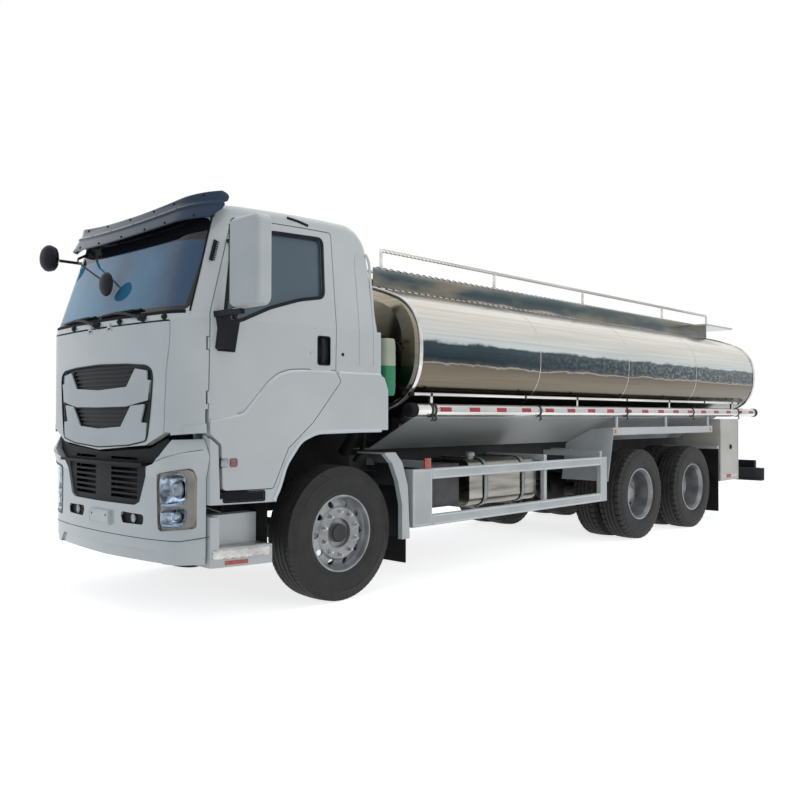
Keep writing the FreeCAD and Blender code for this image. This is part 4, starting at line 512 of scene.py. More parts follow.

# Cab glass. Bonded screen and drop panes of tinted sheet with a printed black border. A painted sky
# reflection in the base colour makes them bluish, and the screen runs lighter towards the right-hand side of
# the cab.


def tinted_glass(name, deep, bright, clear, border=None):
    """Glossy tinted sheet whose base colour runs from deep to bright across the width as a painted sky
    reflection; border gives (highest z, half width, lowest z) of the unprinted part.
    """
    made, graph = new_material(name)
    # Painted reflection: the tone rises across the width towards the right-hand side, with cloudy noise.
    across = graph.ranged(graph.axis("Y"), (-0.28, 0.42), (1.1, -1.0))
    tone = graph.ramp(graph.math("ADD", across, graph.noise(graph.place(), 1.6, 4.0)),
                      (0.22, deep), (0.86, bright))
    if border:
        top, half, low = border
        edges = ((graph.axis("Z"), top + 0.012, top), (graph.off_centre(), half + 0.008, half),
                 (graph.axis("Z"), low, low + 0.008))
        inside = graph.math("MULTIPLY", *[graph.ranged(at, given=(start, end)) for at, start, end in edges])
        tone = graph.mix(inside, (0.012, 0.013, 0.016, 1.0), tone)
        clear = graph.math("MULTIPLY", inside, clear)
    graph.surface({"Base Color": tone, "Roughness": 0.03, "IOR": 1.5, "Specular IOR Level": 0.42,
                   "Transmission Weight": clear})
    return made


dress(tinted_glass("ScreenGlass", (0.018, 0.080, 0.180), (0.080, 0.38, 0.62), 0.10, (2.665, 0.962, 2.185)),
      "windscreen")
dress(tinted_glass("DoorGlass", (0.105, 0.160, 0.205), (0.26, 0.35, 0.42), 0.20), "door_glass_left",
      "door_glass_right")

# Black mouldings. Grained plastic and rubber of the grilles, wipers, door frames and mirror arms.
moulded_black = surface_finish("MouldedBlack", (0.007, 0.009, 0.012), (0.016, 0.019, 0.024), (0.38, 0.55),
                               scale=9.0, grain=420.0, bump=0.18, shine=0.16)
soft_black = surface_finish("SoftBlack", (0.007, 0.007, 0.008), (0.016, 0.016, 0.017), (0.6, 0.8), scale=14.0,
                            grain=300.0, bump=0.2, shine=0.14)


def meshed_black(name, pitch, depth=0.35):
    """Black plastic with a woven look: two crossing sine waves darken and dent it."""
    made, graph = new_material(name)
    weave = graph.math("MULTIPLY", *graph.waves(((0.6, 0.0, 0.6), (-0.6, 0.0, -0.6)), pitch, "Z"))
    graph.surface({"Base Color": graph.ramp(weave, (0.0, (0.006, 0.007, 0.009)),
                                            (1.0, (0.015, 0.017, 0.021))),
                   "Roughness": 0.5, "Specular IOR Level": 0.13, "Normal": graph.relief(weave, depth, 0.003)})
    return made


grille_black = meshed_black("GrilleBlack", 34.0)
dress(grille_black, "lower_grille")

# Upper grille. Moulded black slats behind two broad bands sprayed in cab white; the bands stand
# 18 mm ahead of the slats, so the paint follows the distance from the cab's front arc.


def split_finish(name, first, second, value_of):
    """Two finishes of dark tone, light tone and gloss on one piece, the second where value_of gives one."""
    made, graph = new_material(name)
    chosen = value_of(graph)
    cloud = graph.noise(graph.place(), 1.4, 4.0)
    tones = [graph.ramp(cloud, (0.35, dark), (0.65, light)) for dark, light, gloss in (first, second)]
    shine = [0.14 if max(light) < 0.1 else 0.4 for dark, light, gloss in (first, second)]
    graph.surface({"Base Color": graph.mix(chosen, *tones), "Roughness": graph.ranged(chosen,
                                                                                      (first[2], second[2])),
                   "Specular IOR Level": graph.ranged(chosen, shine),
                   "Normal": graph.relief(graph.noise(graph.place(), 320.0), 0.05)})
    return made


def ahead_of_slats(graph):
    width = graph.axis("Y")
    arc_x = graph.math("ADD", graph.math("MULTIPLY", width, width, 1 / (2 * FRONT_ARC)), graph.axis("X"))
    return graph.math("GREATER_THAN", arc_x, FRONT_AXLE + 1.388)


WHITE_PAIR = (*WHITE_TONES, 0.26)
BLACK_PAIR = ((0.008, 0.010, 0.014), (0.020, 0.023, 0.029), 0.42)
dress(split_finish("GrilleBands", BLACK_PAIR, WHITE_PAIR, ahead_of_slats), "upper_grille")

# Grille surround. A black rubber lip round the panel and along the band's edge, pressed into the flap.
surround = np.array([(0.0, 1.812), (0.40, 1.803), (0.64, 1.786), (0.704, 1.752), (0.714, 1.690),
                     (0.694, 1.50), (0.660, 1.30), (0.640, 1.256), (0.425, 1.222), (0.0, 1.20)])
surround = eased(np.concatenate([surround, surround[-2:0:-1] * [-1, 1]]), 0.03, 4, loop=True)
made_piece("grille_lip", [strip_on(on_front, surround, (0.010, 0.012, 0.003, 3), 0.001, True, 2)],
           moulded_black,
           "front_flap", sharp=50)
band_line = [(0.690, 1.676), (0.668, 1.540), (0.390, 1.496), (0.0, 1.492), (-0.390, 1.496), (-0.668, 1.540),
             (-0.690, 1.676)]
made_piece("band_lips", [strip_on(on_front, band_line, (0.007, 0.006, 0.002, 3), 0.002)], moulded_black,
           "front_flap", sharp=50)

# Sun visor. One bent sheet of smoked blue acrylic with a long crease, held by small black buttons.
acrylic = surface_finish("SmokedAcrylic", (0.012, 0.034, 0.074), (0.030, 0.062, 0.118), (0.07, 0.13),
                         scale=1.1, grain=20.0, bump=0.02, coat=0.08, stretch=(1, 1, 3), shine=0.20)


def on_visor(y, t, out=0.0):
    """Points of the visor: t runs from 0 at the bottom lip over the crease at 0.55 to 1 at the top."""
    y, t = np.broadcast_arrays(np.asarray(y, float), np.asarray(t, float))
    rise = np.clip(np.abs(y) / 1.02, 0, 1.1) ** 2
    low, high = 2.755 + 0.060 * rise, 2.935 + 0.085 * rise
    bulge = 0.052 + 0.040 * (1 - t) + 0.012 * np.exp(-((t - 0.55) / 0.05) ** 2)
    return on_front(y, low + (high - low) * t, bulge + out)


t = np.concatenate([np.linspace(0, 0.48, 9), np.linspace(0.50, 0.60, 7), np.linspace(0.63, 1.0, 9)])
half_width = 1.045 - 0.030 * np.clip(0.3 - t, 0, 1) / 0.3 - 0.035 * np.clip(t - 0.72, 0, 1) ** 2 / 0.0784
grid_y = half_width[None, :] * np.linspace(-1, 1, 97)[:, None]
visor = made_piece("visor_sheet", [lattice(on_visor(grid_y, t))], acrylic, sharp=60, wall=0.006)
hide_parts("sun_visor")
button = [(0.0, 0.010), (0.007, 0.009), (0.010, 0.005), (0.010, -0.006), (0.0, -0.006)]
grids = [turned(button, on_visor(y, level), "x", 12)
         for y in (-0.92, -0.66, -0.27, 0.10, 0.42, 0.66, 0.92) for level in (0.12, 0.90)]
made_piece("visor_buttons", grids, moulded_black)
grids = []
for y in (-0.80, -0.28, 0.28, 0.80):
    path = [on_visor(y, 0.45, -0.004), on_front(y, 2.90, 0.03), on_front(y, 2.925, -0.004)]
    grids.append(carried(eased(path, 0.03), (0, 0, 1), (0.036, 0.005, 0.002, 3)))
made_piece("visor_stays", grids, moulded_black)
made_piece("header_band", [lattice(on_front(*grid((-0.955, 0.955, 61), (2.835, 2.895, 5)), 0.0035))],
           moulded_black,
           wall=0.003)

# Wipers. Pressed arms with a knuckle at the screen's foot and a long rubber blade held in a bridge.


def wiper(pivot, tip, reach):
    """Knuckle, arm, blade and bridge between two points of the front skin."""
    (y0, z0), (y1, z1) = pivot, tip
    knuckle = [(0.0, 0.050), (0.012, 0.049), (0.019, 0.042), (0.022, 0.020), (0.026, 0.012), (0.028, -0.004),
               (0.0, -0.004)]
    bend = np.sin(np.linspace(0, math.pi, 9))
    arm_y = np.linspace(y0, y0 + (y1 - y0) * 0.62, 9)
    arm_z = np.linspace(z0, z0 + (z1 - z0) * 0.92, 9) + 0.012 * bend
    arm = on_front(arm_y, arm_z) + np.outer(0.036 + 0.010 * bend, [1, 0, 0])
    blade_y = arm_y[-1] + np.linspace(-reach / 2, reach / 2, 17)
    slope = (z1 - z0) / max(abs(y1 - y0), 0.1)
    blade = on_front(blade_y, arm_z[-1] + (blade_y - arm_y[-1]) * slope * 0.25)
    bridge = blade[2:-2] + [0.026, 0, 0]
    bridge[:, 0] += 0.010 * np.sin(np.linspace(0, math.pi, len(bridge)))
    return [turned(knuckle, on_front(y0, z0), "x", 20), carried(arm, (1, 0, 0), (0.020, 0.010, 0.004, 3)),
            carried(blade + [0.010, 0, 0], (1, 0, 0), (0.009, 0.020, 0.003, 3)),
            carried(bridge, (1, 0, 0), (0.014, 0.007, 0.003, 3))]


grids = wiper((0.60, 2.118), (0.05, 2.185), 0.58) + wiper((-0.02, 2.108), (-0.62, 2.180), 0.58)
wipers = made_piece("wiper_set", grids, moulded_black, sharp=40)
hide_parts("wipers")
jet = [(0.0, 0.026), (0.012, 0.024), (0.020, 0.012), (0.022, -0.004), (0.0, -0.004)]
made_piece("wiper_caps", [turned(jet, on_front(y, 2.112), "x", 16) for y in (0.30, 0.84, -0.45)],
           moulded_black)
cowl_y = np.linspace(-0.985, 0.985, 61)
seal = [carried(on_front(cowl_y, 2.146, 0.001), normal_of(on_front, cowl_y, 2.150), (0.024, 0.010, 0.004, 3))]
edge = np.array([(1.006, 2.150), (0.985, 2.40), (0.956, 2.70), (0.943, 2.835)])
seal += [strip_on(on_front, edge * [side, 1], (0.016, 0.010, 0.004, 3)) for side in (1, -1)]
made_piece("screen_seal", seal, soft_black, sharp=50)

# Bumper face. The lamp, fog and seam details lie on the bumper's own form: the cab's front arc set
# back by 23 mm and by the steps of its shelf.
SHELF_HEIGHTS = (0.400, 0.480, 1.010, 1.142, 1.170, 1.296)
SHELF_STEPS = (0.008, 0.0, -0.003, -0.038, -0.034, 0.030)


def on_bumper(y, z, out=0.0):
    """Points of the bumper's skin at width y and height z, stood off by out."""
    y, z = np.broadcast_arrays(np.asarray(y, float), np.asarray(z, float))
    set_back = 0.023 + np.interp(z, SHELF_HEIGHTS, SHELF_STEPS)
    return on_front(y, z) + normal_of(on_front, y, z) * (out - set_back)[..., None]


seam_dark = surface_finish("SeamDark", (0.015, 0.016, 0.018), (0.04, 0.042, 0.045), (0.6, 0.8), scale=20.0)
upper = np.array([(0.735, 1.112), (0.80, 1.130), (0.90, 1.158), (1.00, 1.186), (1.075, 1.203)])
lower = [(-1.10, 0.612), (-1.06, 0.600), (-0.95, 0.578), (-0.6, 0.569), (0.0, 0.567), (0.6, 0.569),
         (0.95, 0.578),
         (1.06, 0.600), (1.10, 0.612)]
grids = [strip_on(on_bumper, upper * [side, 1], (0.0035, 0.0016, 0.0006, 2), 0.0006) for side in (1, -1)]
grids.append(strip_on(on_bumper, lower, (0.005, 0.0016, 0.0006, 2), 0.0006))
made_piece("bumper_seams", grids, seam_dark, sharp=60)
hole = [(0.0, 0.0012), (0.008, 0.0012), (0.009, 0.0), (0.0, -0.001)]
made_piece("plinth_holes", [turned(hole, (1.395, y, 0.700), "x", 16) for y in (0.108, -0.108)], seam_dark)
plinth = eased([(0.140, 0.724), (0.140, 0.640), (-0.140, 0.640), (-0.140, 0.724)], 0.016, 5, loop=True)
made_piece("plinth_bead", [carried(in_plane(0, 1.3955, plinth), (1, 0, 0), (0.005, 0.004, 0.0015, 3), True)],
           cab_white)

# Fog recesses. Black tapered pockets behind the openings, each with a small round lamp at its back.
FOG = np.array([(0.312, 0.660), (0.275, 0.742), (0.585, 0.736), (0.574, 0.664)])
lens_clear = surface_finish("LensClear", (0.11, 0.125, 0.14), (0.34, 0.37, 0.40),
                            (0.04, 0.10), 0.6, 18.0, coat=1.0)
bowl = [(0.0, 0.012), (0.016, 0.010), (0.026, 0.004), (0.030, 0.010), (0.033, 0.009), (0.034, -0.004),
        (0.0, -0.004)]
pockets, lamps = [], []
for side in (1, -1):
    loop = eased(FOG * [side, 1], 0.022, 5, loop=True)
    pockets.append(rings_on(on_bumper, loop, ((1.03, -0.001), (1.0, -0.003), (0.97, -0.018), (0.88, -0.020),
                                              (0.4, -0.020), (0.02, -0.020))))
    lamps.append(turned(bowl, on_bumper(*loop.mean(axis=0), -0.019), "x", 24))
made_piece("fog_pockets", pockets, grille_black, sharp=50)
made_piece("fog_lenses", lamps, lens_clear)
core_y, core_z = grid((-0.62, 0.62, 21), (0.80, 1.235, 9))
core = lattice(np.stack([1.262 - core_y ** 2 / (2 * FRONT_ARC), core_y, core_z], axis=-1))
made_piece("radiator_core", [core], meshed_black("RadiatorCore", 60.0, 0.2), wall=0.012)

# Head lamps. Two reflector chambers, one above the other, in a bronze bezel behind a clear cover; each
# has a faceted bowl, a lens and a pale light guide along its foot.
LAMP_CORNERS = np.array([(0.752, 0.632), (0.738, 1.031), (1.040, 1.080), (1.036, 0.667)])
CHAMBERS = ((0.07, 0.80, 0.42, 0.93, 0.060), (0.07, 0.80, 0.07, 0.355, 0.034))


def lamp_point(side, s, t, depth):
    """A point of the lamp: s from its inner to its outer side, t up, depth behind the bumper's skin."""
    s, t, depth = np.broadcast_arrays(*[np.asarray(v, float) for v in (s, t, depth)])
    s, t = s[..., None], t[..., None]
    low = LAMP_CORNERS[0] * (1 - s) + LAMP_CORNERS[3] * s
    high = LAMP_CORNERS[1] * (1 - s) + LAMP_CORNERS[2] * s
    spot = low * (1 - t) + high * t
    return on_bumper(spot[..., 0], spot[..., 1], -depth) * [1, side, 1]


def rounded_cell(s0, s1, t0, t1, corner, count=48):
    """A rounded rectangle in the lamp's own (s, t), as a loop of points."""
    angle = np.linspace(0, 2 * math.pi, count, endpoint=False)
    around = np.stack([np.cos(angle), np.sin(angle)], axis=-1)
    reach = np.sign(around) * np.abs(around) ** (2.0 / corner)
    return np.array([s0 + s1, t0 + t1]) / 2 + reach * np.array([s1 - s0, t1 - t0]) / 2


bezel_bronze = surface_finish("BezelBronze", (0.10, 0.085, 0.065), (0.24, 0.21, 0.165), (0.16, 0.26),
                              0.55, 5.0, 90.0, 0.03, 0.2)
reflector = surface_finish("LampReflector", (0.045, 0.052, 0.065), (0.46, 0.50, 0.55),
                           (0.04, 0.12), 1.0, 16.0, 40.0, 0.10)
guide_blue = surface_finish("LightGuide", (0.12, 0.20, 0.34), (0.40, 0.52, 0.66),
                            (0.10, 0.20), scale=12.0, coat=0.8)
lamp_clear, graph = new_material("LampCover")
scuffs = graph.add("Bump", {"Height": graph.noise(graph.place(), 90.0), "Strength": 0.02})
graph.surface({"Base Color": (0.90, 0.95, 1.0, 1.0), "Roughness": 0.02, "Transmission Weight": 1.0,
               "IOR": 1.12,
               "Normal": scuffs})
bezel, bowls, lenses, guides, covers = [], [], [], [], []
for side in (1, -1):
    edge = rounded_cell(0.0, 1.0, 0.0, 1.0, 9.0, 96)
    rows = [lamp_point(side, *(0.5 + (edge - 0.5) * grow).T, depth)
            for grow, depth in ((0.985, 0.060), (0.992, -0.004), (0.975, -0.006), (0.965, 0.004))]
    bezel.append(lattice(np.stack(rows), loop_v=True))
    grid_t, grid_s = grid((0.01, 0.99, 61), (0.01, 0.99, 41))
    depth = np.full(grid_s.shape, 0.010)
    for s0, s1, t0, t1, _ in CHAMBERS:
        u, v = (grid_s - (s0 + s1) / 2) / ((s1 - s0) / 2), (grid_t - (t0 + t1) / 2) / ((t1 - t0) / 2)
        depth = np.where((np.abs(u) ** 5 + np.abs(v) ** 5) < 1.0, 0.070, depth)
    bezel.append(lattice(lamp_point(side, grid_s, grid_t, depth)))
    for s0, s1, t0, t1, size in CHAMBERS:
        rim = rounded_cell(s0, s1, t0, t1, 5.0, 40)
        middle = np.array([(s0 + s1) / 2 + 0.03, (t0 + t1) / 2 + 0.01])
        rows = [lamp_point(side, *(middle + (rim - middle) * grow).T, deep)
                for grow, deep in ((1.04, 0.008), (1.0, 0.009), (0.93, 0.028), (0.78, 0.044), (0.55, 0.055),
                                   (0.3, 0.061), (0.02, 0.063))]
        bowls.append(lattice(np.stack(rows), loop_v=True))
        dome = [(0.0, 0.034), (size * 0.45, 0.030), (size * 0.8, 0.018), (size * 0.97, 0.004), (size, -0.004),
                (size * 1.08, -0.004), (size * 1.08, -0.012), (0.0, -0.012)]
        lenses.append(turned(dome, lamp_point(side, *middle, 0.050), "x", 32))
        foot = t0 + 0.035 - 0.02 * np.sin(np.linspace(0, math.pi, 13))
        path = lamp_point(side, np.linspace(s0 + 0.05, s1 - 0.05, 13), foot, 0.012)
        guides.append(carried(path, (1, 0, 0), (0.014, 0.010, 0.004, 3)))
    cover_t, cover_s = grid((0.012, 0.988, 33), (0.012, 0.988, 25))
    covers.append(lattice(lamp_point(side, cover_s, cover_t, -0.002)))
lamp_frame = made_piece("lamp_frames", bezel, bezel_bronze, sharp=30)
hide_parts("head_lamps")
made_piece("lamp_bowls", bowls, reflector, sharp=12)
made_piece("lamp_lenses", lenses, lens_clear)
made_piece("lamp_guides", guides, guide_blue)
made_piece("lamp_covers", covers, lamp_clear, wall=0.003)

# Door trim. Black rubber round each drop pane, a bar at the quarter light, a chamfer along the pressed crease
# in a paler white as a painted highlight, with a grey strip of painted shade along its upper edge, and a
# recessed pull with its key ring. Each piece rides on its own door, except the crease's run behind the door,
# which stays with the cab.
WINDOW = eased([(1.060, 2.072), (0.925, 2.762), (0.212, 2.775), (0.240, 2.325), (0.460, 2.286),
                (0.711, 2.206),
                (0.946, 2.095)], 0.045, 5, loop=True)
CREASE = eased([(1.148, 1.389), (0.916, 1.440), (0.744, 1.652), (0.655, 1.722), (0.560, 1.752),
                (0.440, 1.760),
                (0.146, 1.760)], 0.03, 4)
REAR_CREASE = np.column_stack([np.linspace(0.114, -0.330, 12), np.full(12, 1.760)])
PULL_CUP = eased([(0.316, 1.818), (0.316, 2.025), (0.198, 2.025), (0.198, 1.818)], 0.020, 5, loop=True)
# A paler copy of the cab white: a painted highlight on the crease chamfers, the wheel arch lips and the guard
# beads.
painted_highlight_white = surface_finish("PaintedHighlightWhite", (0.66, 0.70, 0.73), (0.74, 0.77, 0.80), (0.18, 0.26), scale=1.2,
                           grain=260.0, bump=0.03, coat=0.6)
# Grey strip along the crease's upper edge: painted shade.
crease_painted_shade = surface_finish("CreaseShade", (0.16, 0.17, 0.175), (0.24, 0.25, 0.255), (0.4, 0.5))
key_steel = surface_finish("KeySteel", (0.30, 0.31, 0.32), (0.62, 0.63, 0.64), (0.2, 0.35), 0.9, 40.0, 200.0)
for side, word in SIDES:
    skin, door = side_skin(side), f"door_{word}"
    sail_t, sail_s = grid((0, 1, 9), (0, 1, 5))
    sail_x = (1.088 + 0.020 * sail_t) * (1 - sail_s) + (0.950 + 0.035 * sail_t) * sail_s
    sail_z = (2.078 - 0.20 * sail_t) * (1 - sail_s) + (2.098 - 0.225 * sail_t) * sail_s
    grids = [strip_on(skin, WINDOW, (0.026, 0.010, 0.003, 3), 0.0, True, 2),
             strip_on(skin, [(0.855, 2.775), (0.975, 2.110)], (0.030, 0.010, 0.003, 3), -0.012),
             lattice(skin(sail_x, sail_z, 0.006))]
    made_piece(f"window_frame_{word}", grids, moulded_black, door, sharp=50)
    made_piece(f"crease_{word}", [ribbon(skin, CREASE, (0.006, 0.014, 0.0005), (0, 0, 0.0125),
                                         (0, -0.004, 0.0125))],
               painted_highlight_white, door, sharp=20)
    made_piece(f"crease_shade_{word}", [ribbon(skin, CREASE, (0.004, 0.022, 0.0009), (0, 0.0125, 0.0012))],
               crease_painted_shade, door, sharp=20)
    rear = ribbon(skin, REAR_CREASE, (0, 0.014, 0.0005), (0, 0, 0.0125), (0, -0.004, 0.0125))
    made_piece(f"rear_crease_{word}", [rear], painted_highlight_white, sharp=20)
    cup = rings_on(skin, PULL_CUP, ((1.07, 0.0015), (1.03, 0.004), (0.98, 0.003), (0.95, -0.020),
                                    (0.5, -0.0235), (0.02, -0.024)))
    share = np.linspace(0, 1, 15)
    pull = skin(0.268, 2.012 - 0.180 * share)
    pull[:, 1] += side * (-0.012 + 0.020 * np.sin(math.pi * share) ** 0.5)
    made_piece(f"door_pull_{word}", [cup, carried(pull, (0, side, 0), (0.034, 0.011, 0.005, 4))],
               moulded_black,
               door, sharp=45)
    ring = [(0.0, 0.002), (0.006, 0.002), (0.008, 0.005), (0.013, 0.006), (0.016, 0.004), (0.017, -0.003),
            (0.0, -0.003)]
    made_piece(f"door_key_{word}", [turned(ring, skin(0.367, 1.900), "y", 24, side)], key_steel,
               door)

# Cab side fittings. A louvred vent on each front pillar, a rain strip over the door, a pressed rib and a
# round port behind it, the mesh of the upper step and the rolled lip of the wheel arch, whose paler white is
# a painted highlight.
step_mesh = meshed_black("StepMesh", 90.0, 0.5)
ARCH_LINE = eased([(0.700, 0.835), (0.657, 0.909), (0.600, 1.085), (0.474, 1.255), (0.330, 1.312),
                   (-0.060, 1.319),
                   (-0.325, 1.319)], 0.05, 5)
STEP_FRAME = eased([(0.768, 0.840), (0.768, 0.908), (1.066, 0.908), (1.066, 0.840)], 0.012, 4, loop=True)
rib_z = np.concatenate([np.linspace(1.83, 2.62, 14), 2.62 + 0.10 * np.sin(np.linspace(0.1, math.pi / 2, 6))])
rib_bend = np.clip((rib_z - 2.62) / 0.10, 0, 1) ** 3
for side, word in SIDES:
    skin = side_skin(side)
    vent = [strip_on(skin, [(1.043, 2.660), (1.090, 2.512)], (0.040, 0.010, 0.004, 3), 0.001)]
    for share in np.linspace(0.06, 0.94, 9):
        x, z = 1.043 + 0.047 * share, 2.660 - 0.148 * share
        vent.append(rod(skin(x - 0.015, z - 0.004, 0.006), skin(x + 0.015, z + 0.004, 0.006), (0, side, 0),
                        (0.006, 0.007, 0.002, 3), 3))
    vent.append(strip_on(skin, [(0.505, 2.897), (0.420, 2.884), (0.330, 2.862)],
                         (0.020, 0.008, 0.003, 3), 0.001))
    port = [(0.0, 0.0005), (0.009, 0.0005), (0.011, 0.002), (0.014, 0.002), (0.015, -0.002), (0.0, -0.002)]
    vent.append(turned(port, skin(0.070, 1.903), "y", 20, side))
    made_piece(f"cab_side_fittings_{word}", vent, moulded_black, sharp=40)
    ribs = [strip_on(skin, np.column_stack([x0 + (x1 - x0) * rib_bend, rib_z]), (0.026, 0.012, 0.006, 4),
                     steps=2) for x0, x1 in ((-0.112, -0.150), (-0.262, -0.225))]
    made_piece(f"pressed_ribs_{word}", ribs, cab_white, sharp=50)
    insert = [lattice(skin(*grid((0.775, 1.060, 19), (0.846, 0.902, 7)), 0.0135)),
              strip_on(skin, STEP_FRAME, (0.010, 0.008, 0.003, 3), 0.013, True, 3)]
    made_piece(f"upper_step_mesh_{word}", insert, step_mesh, sharp=50)
    # The arch lip takes the paler white: a painted highlight along the lip.
    lip = carried(skin(*ARCH_LINE.T, 0.0125), normal_of(skin, *ARCH_LINE.T), (0.030, 0.018, 0.008, 5))
    made_piece(f"arch_lip_{word}", [lip], painted_highlight_white, sharp=50)

# Mirrors. White housings on black arms; the glass lies in the rear face in two panes. The round
# mirrors on the right-hand side watch the cab's front corner.


def left_housing(graph):
    return graph.math("MULTIPLY", graph.math("GREATER_THAN", graph.off_centre(), 1.327),
                      graph.math("GREATER_THAN", graph.axis("Z"), 2.145))


def right_housing(graph):
    return graph.math("MULTIPLY", left_housing(graph), graph.math("LESS_THAN", graph.axis("Z"), 2.744),
                      graph.math("LESS_THAN", graph.axis("X"), FRONT_AXLE + 0.820))


dress(split_finish("MirrorLeft", BLACK_PAIR, WHITE_PAIR, left_housing), "mirror_left")
dress(split_finish("MirrorRight", BLACK_PAIR, WHITE_PAIR, right_housing), "mirror_right")
mirror_glass = surface_finish("MirrorGlass", (0.60, 0.66, 0.72), (0.74, 0.79, 0.84),
                              (0.02, 0.05), 1.0, 2.0, 20.0, 0.01)
for (side, word), back in zip(SIDES, (1.060, 0.660)):
    def rear_face(y, z, out=0.0):
        return in_plane(0, back + out, np.stack([y, z], axis=-1))

    panes, rims = [], []
    for low, high in ((2.325, 2.700), (2.190, 2.300)):
        loop = eased([(1.365 * side, low), (1.635 * side, low), (1.635 * side, high), (1.365 * side, high)],
                     0.035, 6, loop=True)
        panes.append(rings_on(rear_face, loop, ((1.0, 0.0), (0.98, -0.004), (0.5, -0.0055), (0.02, -0.006))))
        rims.append(carried(rear_face(*loop.T), (1, 0, 0), (0.010, 0.014, 0.004, 3), True))
    made_piece(f"mirror_panes_{word}", panes, mirror_glass, f"door_{word}", sharp=50)
    line = [(back + 0.105, 1.352 * side, z) for z in np.linspace(2.19, 2.70, 9)]
    rims.append(carried(line, (1, 0, 0), (0.012, 0.016, 0.005, 4)))
    made_piece(f"mirror_rims_{word}", rims, moulded_black, f"door_{word}", sharp=50)
dome = [(0.0, 0.062), (0.030, 0.061), (0.060, 0.055), (0.085, 0.044), (0.103, 0.028), (0.113, 0.010),
        (0.116, -0.004),
        (0.112, -0.010), (0.0, -0.010)]
made_piece("round_mirror_shell", [turned(dome, (1.214, -1.330, 2.806), "x")], moulded_black,
           "door_right")
pane = [(0.0, -0.032), (0.060, -0.030), (0.100, -0.026), (0.104, -0.020), (0.0, -0.020)]
made_piece("round_mirror_pane", [turned(pane, (1.190, -1.330, 2.806), "x")], mirror_glass,
           "door_right")
arm = [(1.285, -0.60, 2.70), (1.340, -0.50, 2.66), (1.368, -0.30, 2.58), (1.372, -0.12, 2.50),
       (1.372, 0.02, 2.44)]
small_dome = [(0.0, 0.034), (0.035, 0.032), (0.065, 0.024), (0.084, 0.010), (0.090, -0.006), (0.086, -0.012),
              (0.0, -0.012)]
kerb_mirror = [carried(eased(arm, 0.05), (1, 0, 0), (0.014, 0.014, 0.007, 4)),
               turned(small_dome, (1.375, 0.055, 2.415), "x", 40),
               rod((1.225, -0.60, 2.735), (1.285, -0.60, 2.70), (0, 1, 0), (0.020, 0.020, 0.008, 4))]
made_piece("front_mirror", kerb_mirror, moulded_black)

# Steps and wings. The lower tread is chequered aluminium with a red reflector; black liners close the
# arch towards the frame.
tread_plate, graph = new_material("TreadPlate")
bars = graph.math("MAXIMUM", *graph.waves(((0.0, 0.785, 0.785), (0.0, -0.785, -0.785)), 16.0, "X"))
drift = graph.noise(graph.place(), 9.0, 5.0)
graph.surface({"Base Color": graph.ramp(drift, (0.35, (0.42, 0.42, 0.41)), (0.65, (0.66, 0.66, 0.64))),
               "Metallic": 0.85, "Roughness": 0.34, "Normal": graph.relief(bars, 0.6, 0.004)})
reflector_red = surface_finish("ReflectorRed", (0.32, 0.022, 0.010), (0.54, 0.060, 0.020), (0.12, 0.22),
                               scale=40.0, grain=400.0, bump=0.2, coat=0.7)
liner_black = surface_finish("LinerBlack", (0.008, 0.008, 0.009), (0.020, 0.020, 0.021), (0.55, 0.75),
                             scale=5.0, grain=160.0, bump=0.2, shine=0.14)
for side, word in SIDES:
    skin = side_skin(side)
    face = lattice(skin(*grid((0.712, 1.130, 25), (0.452, 0.518, 5)), 0.002))
    top_x, share = grid((0.712, 1.075, 9), (0.0, 1.0, 7))
    outer = skin(top_x, 0.53, -0.006)[..., 1] * side
    top = np.stack([top_x, (1.02 + (outer - 1.02) * share) * side, np.full(top_x.shape, 0.531)], axis=-1)
    made_piece(f"step_tread_{word}", [face, lattice(top)], tread_plate, wall=0.002)
    bar = strip_on(skin, [(1.045, 0.425), (0.885, 0.425)], (0.028, 0.008, 0.003, 3), 0.002)
    made_piece(f"step_reflector_{word}", [bar], reflector_red, sharp=40)
    made_piece(f"arch_wall_{word}", [flat_sheet(1, 0.545 * side, (-0.62, 0.69, 21), (0.68, 1.30, 9)),
                                     flat_sheet(0, 0.690, (0.545 * side, 0.885 * side, 7), (0.42, 1.28, 11))],
               liner_black, wall=0.004)

# Running gear. Dark chassis enamel on rails, springs and arms, rough cast housings, rubber flaps, all
# under a light film of road dust.
chassis_dark = surface_finish("ChassisDark", (0.018, 0.019, 0.021), (0.045, 0.046, 0.048), (0.45, 0.65),
                              scale=4.0, grain=120.0, bump=0.12, shine=0.35)
dress(chassis_dark, "frame_rails", "leaf_springs", "tank_saddles")
dress(surface_finish("CastIron", (0.022, 0.022, 0.023), (0.070, 0.068, 0.064), (0.5, 0.75), 0.2,
                     7.0, 90.0, 0.30, shine=0.35),
      "axles", "engine_block", "driveline", "knuckle_left", "knuckle_right", "tie_rod")
dress(liner_black, "mud_flaps")
dress(surface_finish("BoxGrey", (0.030, 0.031, 0.033), (0.085, 0.086, 0.088), (0.4, 0.6), scale=5.0,
                     grain=100.0, bump=0.1), "chassis_boxes")

# Side lamps. A clear cell and a red-brown cell low on each door near its hinge; their black base shows
# at its front end only.
side_lens_red = surface_finish("SideLensRed", (0.16, 0.045, 0.040), (0.34, 0.12, 0.10), (0.08, 0.18),
                               scale=30.0, grain=120.0, bump=0.2, coat=0.5)
for side, word in SIDES:
    for title, finish, x, width, height, proud in (("base", moulded_black, 1.026, 0.126, 0.076, 0.006),
                                                   ("clear", lens_clear, 1.056, 0.056, 0.064, 0.018),
                                                   ("red", side_lens_red, 0.996, 0.056, 0.064, 0.018)):
        loop = rounded_outline(width, height, 0.012, 4) + [x, 1.111]
        levels = ((1.0, 0.001), (0.98, 0.001 + proud * 0.6), (0.86, 0.001 + proud))
        made_piece(f"side_lamp_{title}_{word}", [rings_on(side_skin(side), loop, levels, True)], finish,
                   f"door_{word}", sharp=40)
